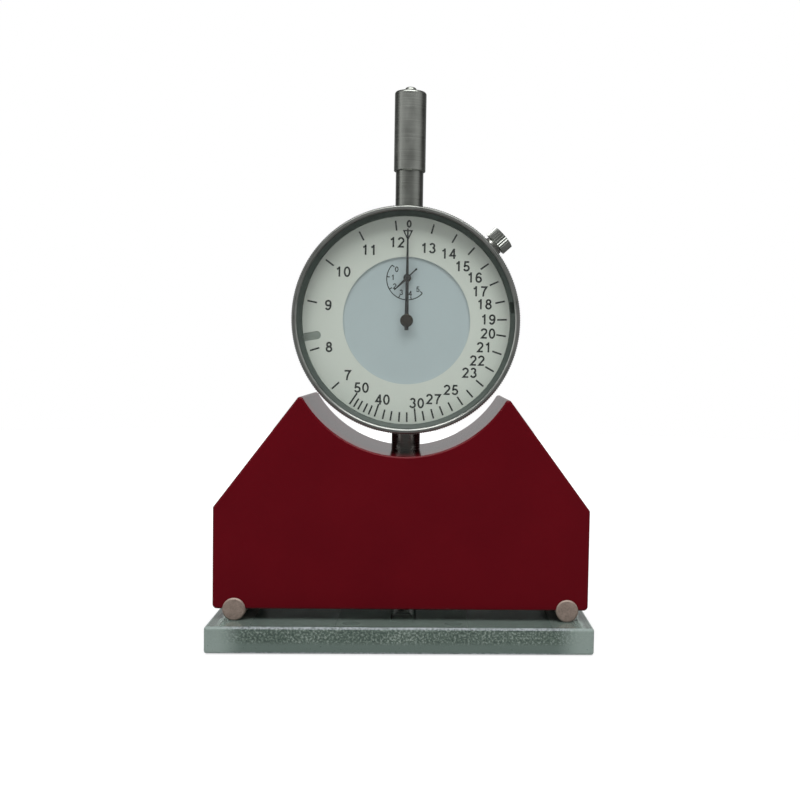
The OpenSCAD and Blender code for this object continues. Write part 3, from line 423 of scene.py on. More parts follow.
@dataclass(frozen=True)
class GroundGlass(Finish):
    """Ground edge of a glass plate: frosted, with grits about half a millimetre wide that carry painted glints.

    The grits lie in the upper part of the edge. Along the broken rim at its faces runs a painted highlight, speckled
    by the grits. Its two ends are painted paler, standing in for light seen through the glass there.
    """

    dark: str = "3f4d46"
    colour: str = "586a60"
    # Painted highlight: the glints of the grits, put into their colour
    glint: str = "cfdad2"
    smooth: str = "66766f"
    # Painted highlight: the bright line of light along the top and bottom rim, put into the colour
    rim: str = "b4bac0"
    # Painted light: the ends are paler, standing in for light seen through the glass near them
    end: str = "9aa9a3"
    rough: Point2 = (0.5, 0.22)
    ior: float = 1.52
    clear: float = 0.2
    grit_mm: float = 0.6
    grit_depth_mm: float = 0.06
    drift_mm: float = 9.0
    grit_low_mm: float = 2.0
    grit_full_mm: float = 3.6
    # Heights below and above which the painted rim highlight lies
    rim_low_mm: float = 0.5
    rim_high_mm: float = 6.5
    # Where the painted end light starts and where it is full, measured across from the middle, and how strong it is
    end_from_mm: float = 40.0
    end_full_mm: float = 47.5
    end_share: float = 0.8

    def surface(self, tree: Tree) -> Node:
        """Frosted glass with a band of grits that carry painted glints, a painted highlight along the rim at its
        faces, and painted light that makes its ends paler.

        Args:
            tree: Tree that takes the nodes.

        Returns:
            The shader's last node.
        """
        at = self.place(tree)
        axes = add(tree, "ShaderNodeSeparateXYZ", {0: at}).outputs
        grits = add(tree, NOISE, {"Vector": at, "Scale": per_grain(self.grit_mm), "Detail": 4.0, "Roughness": 0.7})
        drift = add(tree, NOISE, {"Vector": at, "Scale": per_grain(self.drift_mm)})
        mixed = add(tree, MIX, {"Factor": 0.1, "A": grits, "B": drift})
        # Grit tones from dark to mid, with painted glints at the brightest
        grits_and_painted_glints = add(tree, RAMP, {0: mixed},
                      ((0.4, linear(self.dark)), (0.52, linear(self.colour)), (0.72, linear(self.glint))))
        band = add(tree, "ShaderNodeMapRange", {
            "Value": axes["Z"], "From Min": self.grit_low_mm * MM, "From Max": self.grit_full_mm * MM,
        }, interpolation_type="SMOOTHSTEP")
        # Mask of the painted highlight along the top and bottom rim, speckled by the grits
        high = add(tree, MATHS, {0: axes["Z"], 1: self.rim_high_mm * MM}, operation="GREATER_THAN")
        low = add(tree, MATHS, {0: axes["Z"], 1: self.rim_low_mm * MM}, operation="LESS_THAN")
        both = add(tree, MATHS, {0: high, 1: low}, operation="ADD")
        painted_rim_light_spots = add(tree, RAMP, {0: grits}, ((0.4, grey(0.2)), (0.6, grey(1.0))))
        painted_rim_light = add(tree, MATHS, {0: both, 1: painted_rim_light_spots}, operation="MULTIPLY")
        aside = add(tree, MATHS, {0: axes["X"]}, operation="ABSOLUTE")
        # Mask of the painted light at the ends
        ends = add(tree, "ShaderNodeMapRange", {
            "Value": aside, "From Min": self.end_from_mm * MM, "From Max": self.end_full_mm * MM,
            "To Max": self.end_share,
        }, interpolation_type="SMOOTHSTEP")
        # Over the smooth colour go the grits with their painted glints, then the painted rim highlight, then the
        # painted end light
        colour: Colour | Node = linear(self.smooth)
        for share, over in ((band, grits_and_painted_glints), (painted_rim_light, linear(self.rim)), (ends, linear(self.end))):
            colour = add(tree, MIX, data_type="RGBA", inputs={"Factor": share, "A": colour, "B": over})
        rough = add(tree, RAMP, {0: grits}, ((0.35, grey(self.rough[0])), (0.7, grey(self.rough[1]))))
        bump = add(tree, BUMP, {"Height": grits, "Distance": self.grit_depth_mm * MM})
        return add(tree, PRINCIPLED, {
            "Base Color": colour, "Roughness": rough, "IOR": self.ior, "Transmission Weight": self.clear,
            "Normal": bump,
        })


@dataclass(frozen=True)
class DialCrystal(Finish):
    """Clear acrylic cover of the dial, thin enough that light passes straight through it."""

    tint: str = "f8fbf9"
    shade: str = "eef3f0"
    ior: float = 1.49
    hairline_mm: float = 3.0
    hairline_rough: float = 0.03

    def surface(self, tree: Tree) -> Node:
        """Clear sheet that lets lamps light the dial behind it.

        Args:
            tree: Tree that takes the nodes.

        Returns:
            The shader's last node.
        """
        hairlines = add(tree, NOISE, {
            "Vector": self.place(tree), "Scale": per_grain(self.hairline_mm), "Detail": 5.0, "Roughness": 0.7,
        })
        rough = add(tree, RAMP, {0: hairlines}, ((0.5, grey(0.0)), (0.9, grey(self.hairline_rough))))
        clear = add(tree, PRINCIPLED, {
            "Base Color": linear(self.tint), "Roughness": rough, "IOR": self.ior, "Transmission Weight": 1.0,
        })
        straight = add(tree, "ShaderNodeBsdfTransparent", {"Color": linear(self.shade)})
        path = add(tree, "ShaderNodeLightPath").outputs
        light_ray = add(tree, MATHS, {0: path["Is Shadow Ray"], 1: path["Is Diffuse Ray"]}, operation="MAXIMUM")
        return add(tree, "ShaderNodeMixShader", {0: light_ray, 1: clear, 2: straight})


# Sprayed gloss enamel: deep, even red that mirrors light only along its edges
ENAMEL = GlossEnamel("gloss_enamel")
# Satin chromed steel: dark, with fine rings and a soft streak of light down the stem
STEM_CHROME = TurnedMetal("satin_chrome_stem")
# The same on the upper tube, a little softer, and painted lighter to stand in for the brighter reflections on it
TUBE_CHROME_PAINTED_LIGHTER = TurnedMetal("satin_chrome_tube_painted_lighter", "a2a59f", "8c8f89", roughness=0.3)
# The same on the dust cap, softest, and painted palest to stand in for the still brighter reflections on it
CAP_CHROME_PAINTED_LIGHTER = TurnedMetal("satin_chrome_cap_painted_lighter", "aeb1ab", "979a94", roughness=0.36)
# Satin chromed brass, turned about the dial: silky rings, bright where the lip meets the light
BEZEL_CHROME = TurnedMetal("satin_chrome_bezel", "bfc2bd", "acafaa", Grain.ROUND_DIAL, 0.3, 0.3)
# Satin chromed casting, turned about the dial: broader rings and a duller sheen than the bezel's
CASE_CHROME = TurnedMetal("satin_chrome_case", "a9aca6", "979a94", Grain.ROUND_DIAL, 0.34, 0.5, 0.004)
# Polished and darkened bronze: nearly black, with a small sharp glint
HUB_BRONZE = TurnedMetal("polished_bronze", "2a2317", "211b12", Grain.ROUND_DIAL, 0.2, 0.12, 0.002)
# Drawn steel: cool grey, with faint lines and a narrow streak of light
PIN_STEEL = TurnedMetal("drawn_steel", "a9a9a4", "94948f", Grain.ALONG_Z, 0.25, 0.3, 0.002)
# Turned brass: warm yellow, with fine rings
BRASS = TurnedMetal("turned_brass", "b8955a", "9f7f49", Grain.ROUND_DIAL, 0.28, 0.3)
# Sawn and ground steel rod: pinkish grey and mottled, with no streak
ROD_STEEL = GroundSteel("ground_rod_steel", "a08f84", "82736a", 0.35)
# Drawn spring wire: plain grey, with a soft sheen
SPRING_STEEL = GroundSteel("drawn_spring_steel", "8f8f8c", "7a7a77", 0.9, 0.3, 0.2)
# Oiled steel screws: dark grey and fairly dull
SCREW_STEEL = GroundSteel("dark_screw_steel", "5d5d59", "4a4a46", 0.9, 0.36, 0.25)
# Blackened steel: sooty black, with a faint sheen
BLACK_STEEL = GroundSteel("blackened_steel", "2b2b2c", "1f1f20", 0.6, 0.42, 0.3)
# Heat-blued steel: deep blue with a clear gloss
BLUED_STEEL = GroundSteel("blued_steel", "4a5d82", "3c4d70", 1.0, 0.25, 0.3)
# Milled aluminium: pale and matte
PLAIN_ALUMINIUM = GroundSteel("milled_aluminium", "b5b5b0", "a2a29d", 0.9, 0.4, 0.6)
# Blasted metal under the crystal: dark green-grey, with no mirror at all
SEAT_GREY = GroundSteel("blasted_seat", "4e5751", "454e48", 0.2, 0.6, 0.3)
# The same on the split ring, a shade darker
CLAMP_GREY = GroundSteel("blasted_clamp_ring", "434d47", "3a433e", 0.2, 0.6, 0.3)
# Blasted metal of the dial's key: mid grey and dull
KEY_GREY = GroundSteel("blasted_key", "878d87", "7a807a", 0.4, 0.5, 0.3)
# Moulded rubber: flat black
GASKET = Enamelled("gasket_rubber", "1d1e20", "151617", 0.7, 0.3)
# Enamelled sheet: warm off-white with a faint speckle
SCALE_CREAM = Enamelled("scale_cream", "dddbd7", "d5d3cf")
# Enamelled sheet: pale grey-blue with a faint speckle
DISC_BLUE = Enamelled("disc_blue", "bcc3ca", "b4bbc2")
# Printing ink: flat black
PRINT_INK = Enamelled("printed_ink", "0e110f", "0a0c0b", 0.5, 0.2, 0.1)
# Matt black paint on thin sheet: even black, with a little sheen along its edges
HAND_BLACK = Enamelled("matt_black_hand", "0e0f10", "08090a", 0.4, 0.5, 0.2)
# Polished acrylic: clear, with faint hairlines
CRYSTAL = DialCrystal("dial_crystal")
# Float glass: clear and green, with the light of the floor in it
PLATE_GLASS = FloatGlass("green_float_glass")
# Ground glass: grey-green frost with grits made bright by painted glints, a painted highlight along the rim at its
# top and bottom, and painted light at its ends
PLATE_EDGE = GroundGlass("plate_edge")

# Meshes


def linked(name: str, data: bpy.types.ID) -> Object:
    """Makes an object at the origin and puts it in the scene.

    Args:
        name: Name of the object.
        data: Its mesh, camera or lamp.

    Returns:
        The object.
    """
    made = bpy.data.objects.new(name, data)
    bpy.context.scene.collection.objects.link(made)
    return made


def mesh_piece(name: str, points: Iterable[Sequence[float]], faces: Iterable[Sequence[int]],
               finish: Finish, smooth: bool = True) -> Object:
    """Makes an object at the origin from points in metres.

    Args:
        name: Name of the piece.
        points: Points in the row frame.
        faces: Faces as indices of points.
        finish: Finish of every face.
        smooth: Whether faces are shaded smooth.

    Returns:
        The linked object.
    """
    mesh = bpy.data.meshes.new(name)
    mesh.from_pydata([tuple(p) for p in points], [], [tuple(f) for f in faces])
    mesh.materials.append(finish.material())
    mesh.shade_smooth() if smooth else mesh.shade_flat()
    return linked(name, mesh)


def baked(piece: Object) -> Object:
    """Replaces a piece's mesh by its evaluated one and removes its modifiers.

    Args:
        piece: Object with modifiers.

    Returns:
        The same object, with a plain mesh.
    """
    bpy.context.view_layer.update()
    evaluated = piece.evaluated_get(bpy.context.evaluated_depsgraph_get())
    mesh = bpy.data.meshes.new_from_object(evaluated)
    mesh.name = piece.name
    piece.modifiers.clear()
    piece.data = mesh
    return piece


def moved(piece: Object, matrix: Matrix) -> Object:
    """Applies a matrix to a piece's mesh, and leaves its object at the origin.

    Args:
        piece: The piece.
        matrix: Where its mesh goes.

    Returns:
        The same object.
    """
    piece.data.transform(matrix)
    piece.data.update()
    return piece


def outward(piece: Object, near_mm: float = 0.001) -> Object:
    """Merges points that lie on each other and turns every face outwards.

    Args:
        piece: The piece.
        near_mm: Points no further apart than this are merged.

    Returns:
        The same object.
    """
    work = bmesh.new()
    work.from_mesh(piece.data)
    bmesh.ops.remove_doubles(work, verts=work.verts, dist=near_mm * MM)
    bmesh.ops.recalc_face_normals(work, faces=work.faces)
    work.to_mesh(piece.data)
    work.free()
    return piece


def flat_faces_kept(piece: Object, angle: float) -> Object:
    """Weights normals by face size, so that large flat faces stay flat beside rounded edges.

    Args:
        piece: Smooth-shaded piece.
        angle: Edges sharper than this many degrees stay sharp.

    Returns:
        The same object, with a plain mesh.
    """
    work = bmesh.new()
    work.from_mesh(piece.data)
    for edge in work.edges:
        edge.smooth = len(edge.link_faces) == 2 and edge.calc_face_angle() < math.radians(angle)
    for face in work.faces:
        face.smooth = True
    work.to_mesh(piece.data)
    work.free()
    weighted = piece.modifiers.new("flat faces", "WEIGHTED_NORMAL")
    weighted.mode = "FACE_AREA"
    weighted.weight = 100
    weighted.keep_sharp = True
    return baked(piece)


def rounded_corners(corners: Sequence[Point3], steps: int = 6) -> list[Point2]:
    """Rounds the corners of a closed outline.

    Args:
        corners: X, Y and rounding radius of each corner. A radius of 0 keeps the corner.
        steps: Segments of each rounding.

    Returns:
        The outline's points.
    """
    outline: list[Point2] = []
    for i, (x, y, radius) in enumerate(corners):
        if not radius:
            outline.append((x, y))
            continue
        here = Vector((x, y))
        before = (Vector(corners[i - 1][:2]) - here).normalized()
        after = (Vector(corners[(i + 1) % len(corners)][:2]) - here).normalized()
        half = before.angle(after) / 2
        centre = here + (before + after).normalized() * radius / math.sin(half)
        start = here + before * radius / math.tan(half) - centre
        swing = start.angle_signed(here + after * radius / math.tan(half) - centre)
        for k in range(steps + 1):
            spoke = Matrix.Rotation(-swing * k / steps, 2) @ start
            outline.append((centre.x + spoke.x, centre.y + spoke.y))
    return outline


def lathe(name: str, profile: Sequence[Point2], finish: Finish, steps: int, sharp: float = 35.0) -> Object:
    """Turns a closed profile about the local Z axis.

    Args:
        name: Name of the piece.
        profile: Radius and height in millimetres, as a closed loop. Points on the axis close its poles.
        finish: Finish of the piece.
        steps: Segments round the axis.
        sharp: Edges sharper than this many degrees stay sharp.

    Returns:
        The piece, still in its local frame, in metres.
    """
    points: list[Point3] = []
    for k in range(steps):
        turn = FULL_TURN * k / steps
        points += [(r * math.cos(turn) * MM, r * math.sin(turn) * MM, h * MM) for r, h in profile]
    count = len(profile)
    faces: Faces = []
    for k in range(steps):
        near, far = k * count, (k + 1) % steps * count
        for i in range(count):
            j = (i + 1) % count
            if profile[i][0] or profile[j][0]:
                faces.append((near + i, far + i, far + j, near + j))
    return flat_faces_kept(outward(mesh_piece(name, points, faces, finish)), sharp)


# Repeating pieces


class SocketKind(Enum):
    """Kinds of inputs of a Geometry Nodes tree."""

    GEOMETRY = "NodeSocketGeometry"
    COUNT = "NodeSocketInt"
    SIZE = "NodeSocketFloat"
    MATERIAL = "NodeSocketMaterial"


class Repeater:
    """A Geometry Nodes tree that repeats a small bar about the local Z axis."""

    def __init__(self, name: str, **inputs: SocketKind) -> None:
        """Starts the tree with its geometry, its named inputs and the material.

        Args:
            name: Name of the tree.
            inputs: Kind of each named input.
        """
        self.tree = bpy.data.node_groups.new(name, "GeometryNodeTree")
        self.sockets: dict[str, str] = {}
        self.socket("Geometry", SocketKind.GEOMETRY)
        self.tree.interface.new_socket("Geometry", in_out="OUTPUT", socket_type=SocketKind.GEOMETRY.value)
        for key, kind in (inputs | {"Material": SocketKind.MATERIAL}).items():
            self.socket(key, kind)
        self.given = add(self.tree, "NodeGroupInput").outputs

    def socket(self, name: str, kind: SocketKind) -> None:
        """Adds a named input and keeps the identifier that it is set by."""
        item = self.tree.interface.new_socket(name, in_out="INPUT", socket_type=kind.value)
        self.sockets[name] = item.identifier

    def finish(self, geometry: Node) -> None:
        """Realizes the instances, sets their material and ends the tree.

        Args:
            geometry: Node that gives the instances.
        """
        real = add(self.tree, "GeometryNodeRealizeInstances", {0: geometry})
        dressed = add(self.tree, "GeometryNodeSetMaterial", {"Geometry": real, "Material": self.given["Material"]})
        add(self.tree, "NodeGroupOutput", {0: dressed})

    def run(self, piece: Object, finish: Finish, **values: object) -> Object:
        """Runs the tree on a piece and keeps the result as a plain mesh.

        Args:
            piece: Object whose mesh is the tree's input.
            finish: Finish of the bars.
            values: Value of each other input.

        Returns:
            The same object.
        """
        modifier = piece.modifiers.new(self.tree.name, "NODES")
        modifier.node_group = self.tree
        for name, value in (values | {"Material": finish.material()}).items():
            modifier[self.sockets[name]] = value
        return baked(piece)


class RidgeRing(Repeater):
    """Straight knurl: ridges that stand side by side round a turned piece."""

    def __init__(self) -> None:
        """Builds the tree: a square bar on edge at each point of a circle."""
        super().__init__("ridge ring", Count=SocketKind.COUNT, Radius=SocketKind.SIZE, Width=SocketKind.SIZE,
                         Length=SocketKind.SIZE)
        tree, given = self.tree, self.given
        circle = add(tree, "GeometryNodeMeshCircle", {"Vertices": given["Count"], "Radius": given["Radius"]},
                     fill_type="NONE")
        size = add(tree, "ShaderNodeCombineXYZ", {0: given["Width"], 1: given["Width"], 2: given["Length"]})
        bar = add(tree, "GeometryNodeMeshCube", {"Size": size})
        on_edge = add(tree, "GeometryNodeTransform", {"Geometry": bar, "Rotation": (0.0, 0.0, math.radians(45))})
        index = add(tree, "GeometryNodeInputIndex")
        share = add(tree, MATHS, {0: index, 1: given["Count"]}, operation="DIVIDE")
        turn = add(tree, MATHS, {0: share, 1: FULL_TURN}, operation="MULTIPLY")
        rotation = add(tree, "ShaderNodeCombineXYZ", {2: turn})
        ring = add(tree, "GeometryNodeInstanceOnPoints", {
            "Points": circle, "Instance": on_edge, "Rotation": rotation,
        })
        whole = add(tree, "GeometryNodeJoinGeometry", {0: ring})
        tree.links.new(given["Geometry"], whole.inputs[0])
        self.finish(whole)


class MarkRing(Repeater):
    """Printed marks of a dial: a thin bar at each point, turned and stretched by the point's values."""

    def __init__(self) -> None:
        """Builds the tree: a bar 1 mm long at each point, along the line from the centre."""
        super().__init__("mark ring", Width=SocketKind.SIZE, Thickness=SocketKind.SIZE)
        tree, given = self.tree, self.given
        size = add(tree, "ShaderNodeCombineXYZ", {0: given["Width"], 1: MM, 2: given["Thickness"]})
        bar = add(tree, "GeometryNodeMeshCube", {"Size": size})
        turn = add(tree, "GeometryNodeInputNamedAttribute", {"Name": "turn"}, data_type="FLOAT")
        reach = add(tree, "GeometryNodeInputNamedAttribute", {"Name": "reach"}, data_type="FLOAT")
        self.finish(add(tree, "GeometryNodeInstanceOnPoints", {
            "Points": given["Geometry"], "Instance": bar,
            "Rotation": add(tree, "ShaderNodeCombineXYZ", {2: turn}),
            "Scale": add(tree, "ShaderNodeCombineXYZ", {0: 1.0, 1: reach, 2: 1.0}),
        }))


# Block and plate


@dataclass
class Block:
    """The painted block: a trapezoid with a round saddle, rounded along its edges.

    The saddle's arc stops saddle_clear, an angle in radians, short of the crests, to leave room for their rounding.
    sharpest is the least share of the mitre that a corner keeps, and past is how far cuts go beyond a surface.
    sharp is the angle in degrees above which an edge stays sharp.
    """

    width: float = 100.0
    depth: float = 44.0
    shoulder_z: float = 37.0
    crest_z: float = 66.4
    crest_in: float = 26.96
    crest_out: float = 27.96
    saddle_z: float = 82.3
    saddle_r: float = 31.3
    saddle_clear: float = 0.035
    foot_round: float = 1.2
    corner_round: float = 0.8
    edge_round: float = 0.6
    edge_steps: int = 5
    saddle_steps: int = 96
    sharpest: float = 0.3
    sharp: float = 33.0
    rod_x: float = 44.3
    rod_r: float = 3.0
    rod_steps: int = 64
    cover: Point3 = (36.0, 31.8, 2.0)
    pocket: Point3 = (16.6, 25.6, 21.05)
    screw_z: float = 42.025
    screw_r: float = 2.0
    screw_end_y: float = 14.0
    screw_steps: int = 48
    past: float = 1.0

    def outline(self) -> list[Point2]:
        """Gives the front face's outline, with rounded corners.

        Returns:
            Its points in X and Z, in millimetres.
        """
        half = self.width / 2
        side = [(half, PLACES.under_z, self.foot_round), (half, self.shoulder_z, self.corner_round),
                (self.crest_out, self.crest_z, self.corner_round), (self.crest_in, self.crest_z, self.corner_round)]
        start = math.asin(self.crest_in / self.saddle_r) - self.saddle_clear
        sweep = [start - (2 * start) * k / self.saddle_steps for k in range(self.saddle_steps + 1)]
        saddle = [(self.saddle_r * math.sin(a), self.saddle_z - self.saddle_r * math.cos(a), 0.0) for a in sweep]
        mirrored = [(-x, z, r) for x, z, r in reversed(side)]
        return rounded_corners(side + saddle + mirrored)

    def shell(self) -> Object:
        """Builds the closed shell: the outline swept from front to back, pulled in along both edges.

        Returns:
            The shell, not cut yet.
        """
        outline = [Vector(p) for p in self.outline()]
        count = len(outline)
        pull = []
        for i, here in enumerate(outline):
            before = (here - outline[i - 1]).normalized()
            after = (outline[(i + 1) % count] - here).normalized()
            inner = [Vector((-d.y, d.x)) for d in (before, after)]
            mean = (inner[0] + inner[1]).normalized()
            pull.append(mean / max(mean.dot(inner[0]), self.sharpest))
        half = self.depth / 2
        quarter = [math.radians(90) * k / self.edge_steps for k in range(self.edge_steps + 1)]
        rows = [(self.edge_round * (1 - math.sin(a)), -half + self.edge_round * (1 - math.cos(a))) for a in quarter]
        rows += [(inset, -y) for inset, y in reversed(rows)]
        points = [((p.x + n.x * inset) * MM, y * MM, (p.y + n.y * inset) * MM)
                  for inset, y in rows for p, n in zip(outline, pull)]
        faces: Faces = [tuple(range(count)), tuple((len(rows) - 1) * count + i for i in reversed(range(count)))]
        for row in range(len(rows) - 1):
            for i in range(count):
                j = (i + 1) % count
                faces.append((row * count + i, (row + 1) * count + i, (row + 1) * count + j, row * count + j))
        return outward(mesh_piece("block_shell", points, faces, ENAMEL))

    def cutters(self) -> Object:
        """Builds what is cut out of the shell: rod grooves, the mechanism's pocket and the screw's hole.

        Returns:
            One object that holds every cutter.
        """
        work = bmesh.new()
        across = Matrix.Rotation(math.radians(90), 4, "X")
        hole = self.depth / 2 + self.past - self.screw_end_y
        rods = [((side * self.rod_x, 0, PLACES.under_z), self.rod_r, 2 * self.depth, self.rod_steps)
                for side in (-1, 1)]
        screw = ((0, self.screw_end_y + hole / 2, self.screw_z), self.screw_r, hole, self.screw_steps)

        def cylinder(middle: Point3, radius: float, length: float, steps: int) -> None:
            """Adds a cylinder that lies from front to back."""
            bmesh.ops.create_cone(work, cap_ends=True, segments=steps, radius1=radius * MM, radius2=radius * MM,
                                  depth=length * MM, matrix=Matrix.Translation([v * MM for v in middle]) @ across)

        for rod in rods:
            cylinder(*rod)
        for (wide, deep, high), sink in ((self.cover, self.past), (self.pocket, -self.past)):
            middle = PLACES.under_z + (high - sink) / 2
            size = Matrix.Diagonal((wide * MM, deep * MM, (high + sink) * MM, 1))
            bmesh.ops.create_cube(work, size=1.0, matrix=Matrix.Translation((0, 0, middle * MM)) @ size)
        cylinder(*screw)
        mesh = bpy.data.meshes.new("cutters")
        work.to_mesh(mesh)
        work.free()
        return linked("cutters", mesh)

    def build(self) -> None:
        """Builds the painted block in place of its CAD node."""
        shell = self.shell()
        cutter = self.cutters()
        cut = shell.modifiers.new("pocket and grooves", "BOOLEAN")
        cut.operation = "DIFFERENCE"
        cut.solver = "EXACT"
        cut.use_self = True
        cut.object = cutter
        baked(shell)
        bpy.data.objects.remove(cutter)
        flat_faces_kept(shell, self.sharp)
        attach(shell, Body.GAUGE.value)
        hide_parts("body_block")
        log.info("block: %d faces", len(shell.data.polygons))


@dataclass
class SettingPlate:
    """The glass plate that the gauge is set to zero on, with polished faces and ground edges.

    A face is a polished one where the upright part of its normal is more than level.
    """

    width: float = 101.4
    depth: float = 60.0
    height: float = 7.0
    bevel: float = 0.6
    level: float = 0.99

    def build(self) -> None:
        """Builds the plate in place of its CAD node."""
        work = bmesh.new()
        size = Matrix.Diagonal((self.width * MM, self.depth * MM, self.height * MM, 1))
        bmesh.ops.create_cube(work, size=1.0, matrix=Matrix.Translation((0, 0, self.height / 2 * MM)) @ size)
        bmesh.ops.bevel(work, geom=work.edges[:], offset=self.bevel * MM, segments=2, profile=0.5, affect="EDGES")
        work.normal_update()
        for face in work.faces:
            face.material_index = 0 if abs(face.normal.z) > self.level else 1
        mesh = bpy.data.meshes.new("glass_plate")
        work.to_mesh(mesh)
        work.free()
        for finish in (PLATE_GLASS, PLATE_EDGE):
            mesh.materials.append(finish.material())
        plate = linked("glass_plate", mesh)
        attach(plate, Body.PLATE.value)
        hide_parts("setting_plate")
        log.info("setting plate: %d faces", len(mesh.polygons))


# Indicator


@dataclass
class Bezel:
    """The knurled bezel with its lip, and the clamp's knurled knob at the upper right.

    The bezel's walls inside its lip, and no more than slack outside it, are blasted from blasted_from forwards.
    """

    knurl: RidgeRing
    back: float = 9.2
    front: float = 17.5
    back_r: float = 29.9
    root_r: float = 30.42
    face_r: float = 30.15
    lip_r: float = 29.15
    bore_r: float = 29.0
    back_bevel: float = 0.8
    front_bevel: float = 0.5
    lip_bevel: float = 0.3
    crystal_front: float = 14.6
    blasted_from: float = 12.4
    slack: float = 0.02
    steps: int = 240
    ridges: int = 300
    ridge_w: float = 0.5
    ridge_out: float = 0.24
    ridge_short: float = 1.9
    knob_r: float = 3.5
    knob_root: float = 3.16
    knob_len: float = 3.4
    knob_bevel: float = 0.25
    knob_steps: int = 60
    knob_ridges: int = 30
    knob_short: float = 0.3
    seat: float = 31.95
    shank_r: float = 1.0
    neck_r: float = 2.2
    neck: float = 0.3
    shank_in: float = 26.0

    def ring(self) -> None:
        """Builds the ring with its fine knurl."""
        profile = rounded_corners([
            (self.back_r, self.back, 0.2), (self.root_r, self.back + self.back_bevel, 0.3),
            (self.root_r, self.front - self.front_bevel, 0.2), (self.face_r, self.front, 0.15),
            (self.lip_r + self.lip_bevel, self.front, 0.12), (self.lip_r, self.front - self.lip_bevel, 0.1),
            (self.lip_r, self.crystal_front, 0.0), (PLACES.view_r, self.crystal_front, 0.1),
            (PLACES.view_r, PLACES.ring_face, 0.0), (self.bore_r, PLACES.ring_face, 0.0),
            (self.bore_r, self.back, 0.1),
        ], 4)
        ring = lathe("bezel_ring", profile, BEZEL_CHROME, self.steps)
        middle = (self.back + self.front) / 2
        moved(ring, Matrix.Translation((0, 0, -middle * MM)))
        self.knurl.run(ring, BEZEL_CHROME, Count=self.ridges, Width=self.ridge_w * MM,
                       Radius=(self.root_r + self.ridge_out - self.ridge_w / math.sqrt(2)) * MM,
                       Length=(self.front - self.back - self.ridge_short) * MM)
        ring.data.materials.append(SEAT_GREY.material())
        for face in ring.data.polygons:
            inside = face.center.xy.length < (self.lip_r + self.slack) * MM
            ahead = face.center.z > (self.blasted_from - middle) * MM
            face.material_index = len(ring.data.materials) - 1 if inside and ahead else 0
        moved(ring, PLACES.dial(middle))
        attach(ring, Body.BEZEL.value)
        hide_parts("bezel")
        log.info("bezel: %d faces", len(ring.data.polygons))

    def knob(self) -> None:
        """Builds the clamp screw with its knurled knob."""
        inner = self.seat + self.neck
        outer = inner + self.knob_len
        bevel_r = self.knob_root - self.knob_bevel
        profile = rounded_corners([
            (0.0, self.shank_in, 0.0), (self.shank_r, self.shank_in, 0.1), (self.shank_r, self.seat, 0.0),
            (self.neck_r, self.seat, 0.1), (self.neck_r, inner, 0.0), (bevel_r, inner, 0.0),
            (self.knob_root, inner + self.knob_bevel, 0.0), (self.knob_root, outer - self.knob_bevel, 0.0),
            (bevel_r, outer, 0.0), (0.0, outer, 0.0),
        ], 4)
        knob = lathe("clamp_knob", profile, BEZEL_CHROME, self.knob_steps)
        middle = (inner + outer) / 2
        moved(knob, Matrix.Translation((0, 0, -middle * MM)))
        self.knurl.run(knob, BEZEL_CHROME, Count=self.knob_ridges, Width=self.ridge_w * MM,
                       Radius=(self.knob_r - self.ridge_w / math.sqrt(2)) * MM,
                       Length=(self.knob_len - self.knob_short) * MM)
        moved(knob, PLACES.clamp() @ Matrix.Translation((0, 0, middle * MM)))
        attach(knob, Body.CLAMP_SCREW.value)
        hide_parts("bezel_clamp_screw")
        log.info("clamp knob: %d faces", len(knob.data.polygons))


@dataclass(frozen=True)
class Mark:
    """One printed mark of a dial: its angle clockwise from the top, and its inner and outer radius."""

    angle: float
    inner: float
    outer: float


@dataclass(frozen=True)
class Numeral:
    """One printed numeral: its text, centre in the dial's frame and height, in millimetres."""

    text: str
    x: float
    y: float
    height: float = 2.75


@dataclass(frozen=True)
class Sheet:
    """Where a print lies: how far in front of the stem's axis, how far above the dial's, and on which body."""

    front: float
    up: float
    body: Body


def arc(x: float, y: float, rx: float, ry: float, start: float, end: float, steps: int = 14) -> list[Point2]:
    """Gives points along part of an ellipse, from one angle in degrees to another.

    Args:
        x: Its centre across.
        y: Its centre upwards.
        rx: Its radius across.
        ry: Its radius upwards.
        start: Angle of the first point.
        end: Angle of the last point.
        steps: Count of steps between them.

    Returns:
        The points.
    """
    turns = [math.radians(start + (end - start) * k / steps) for k in range(steps + 1)]
    return [(x + rx * math.cos(a), y + ry * math.sin(a)) for a in turns]


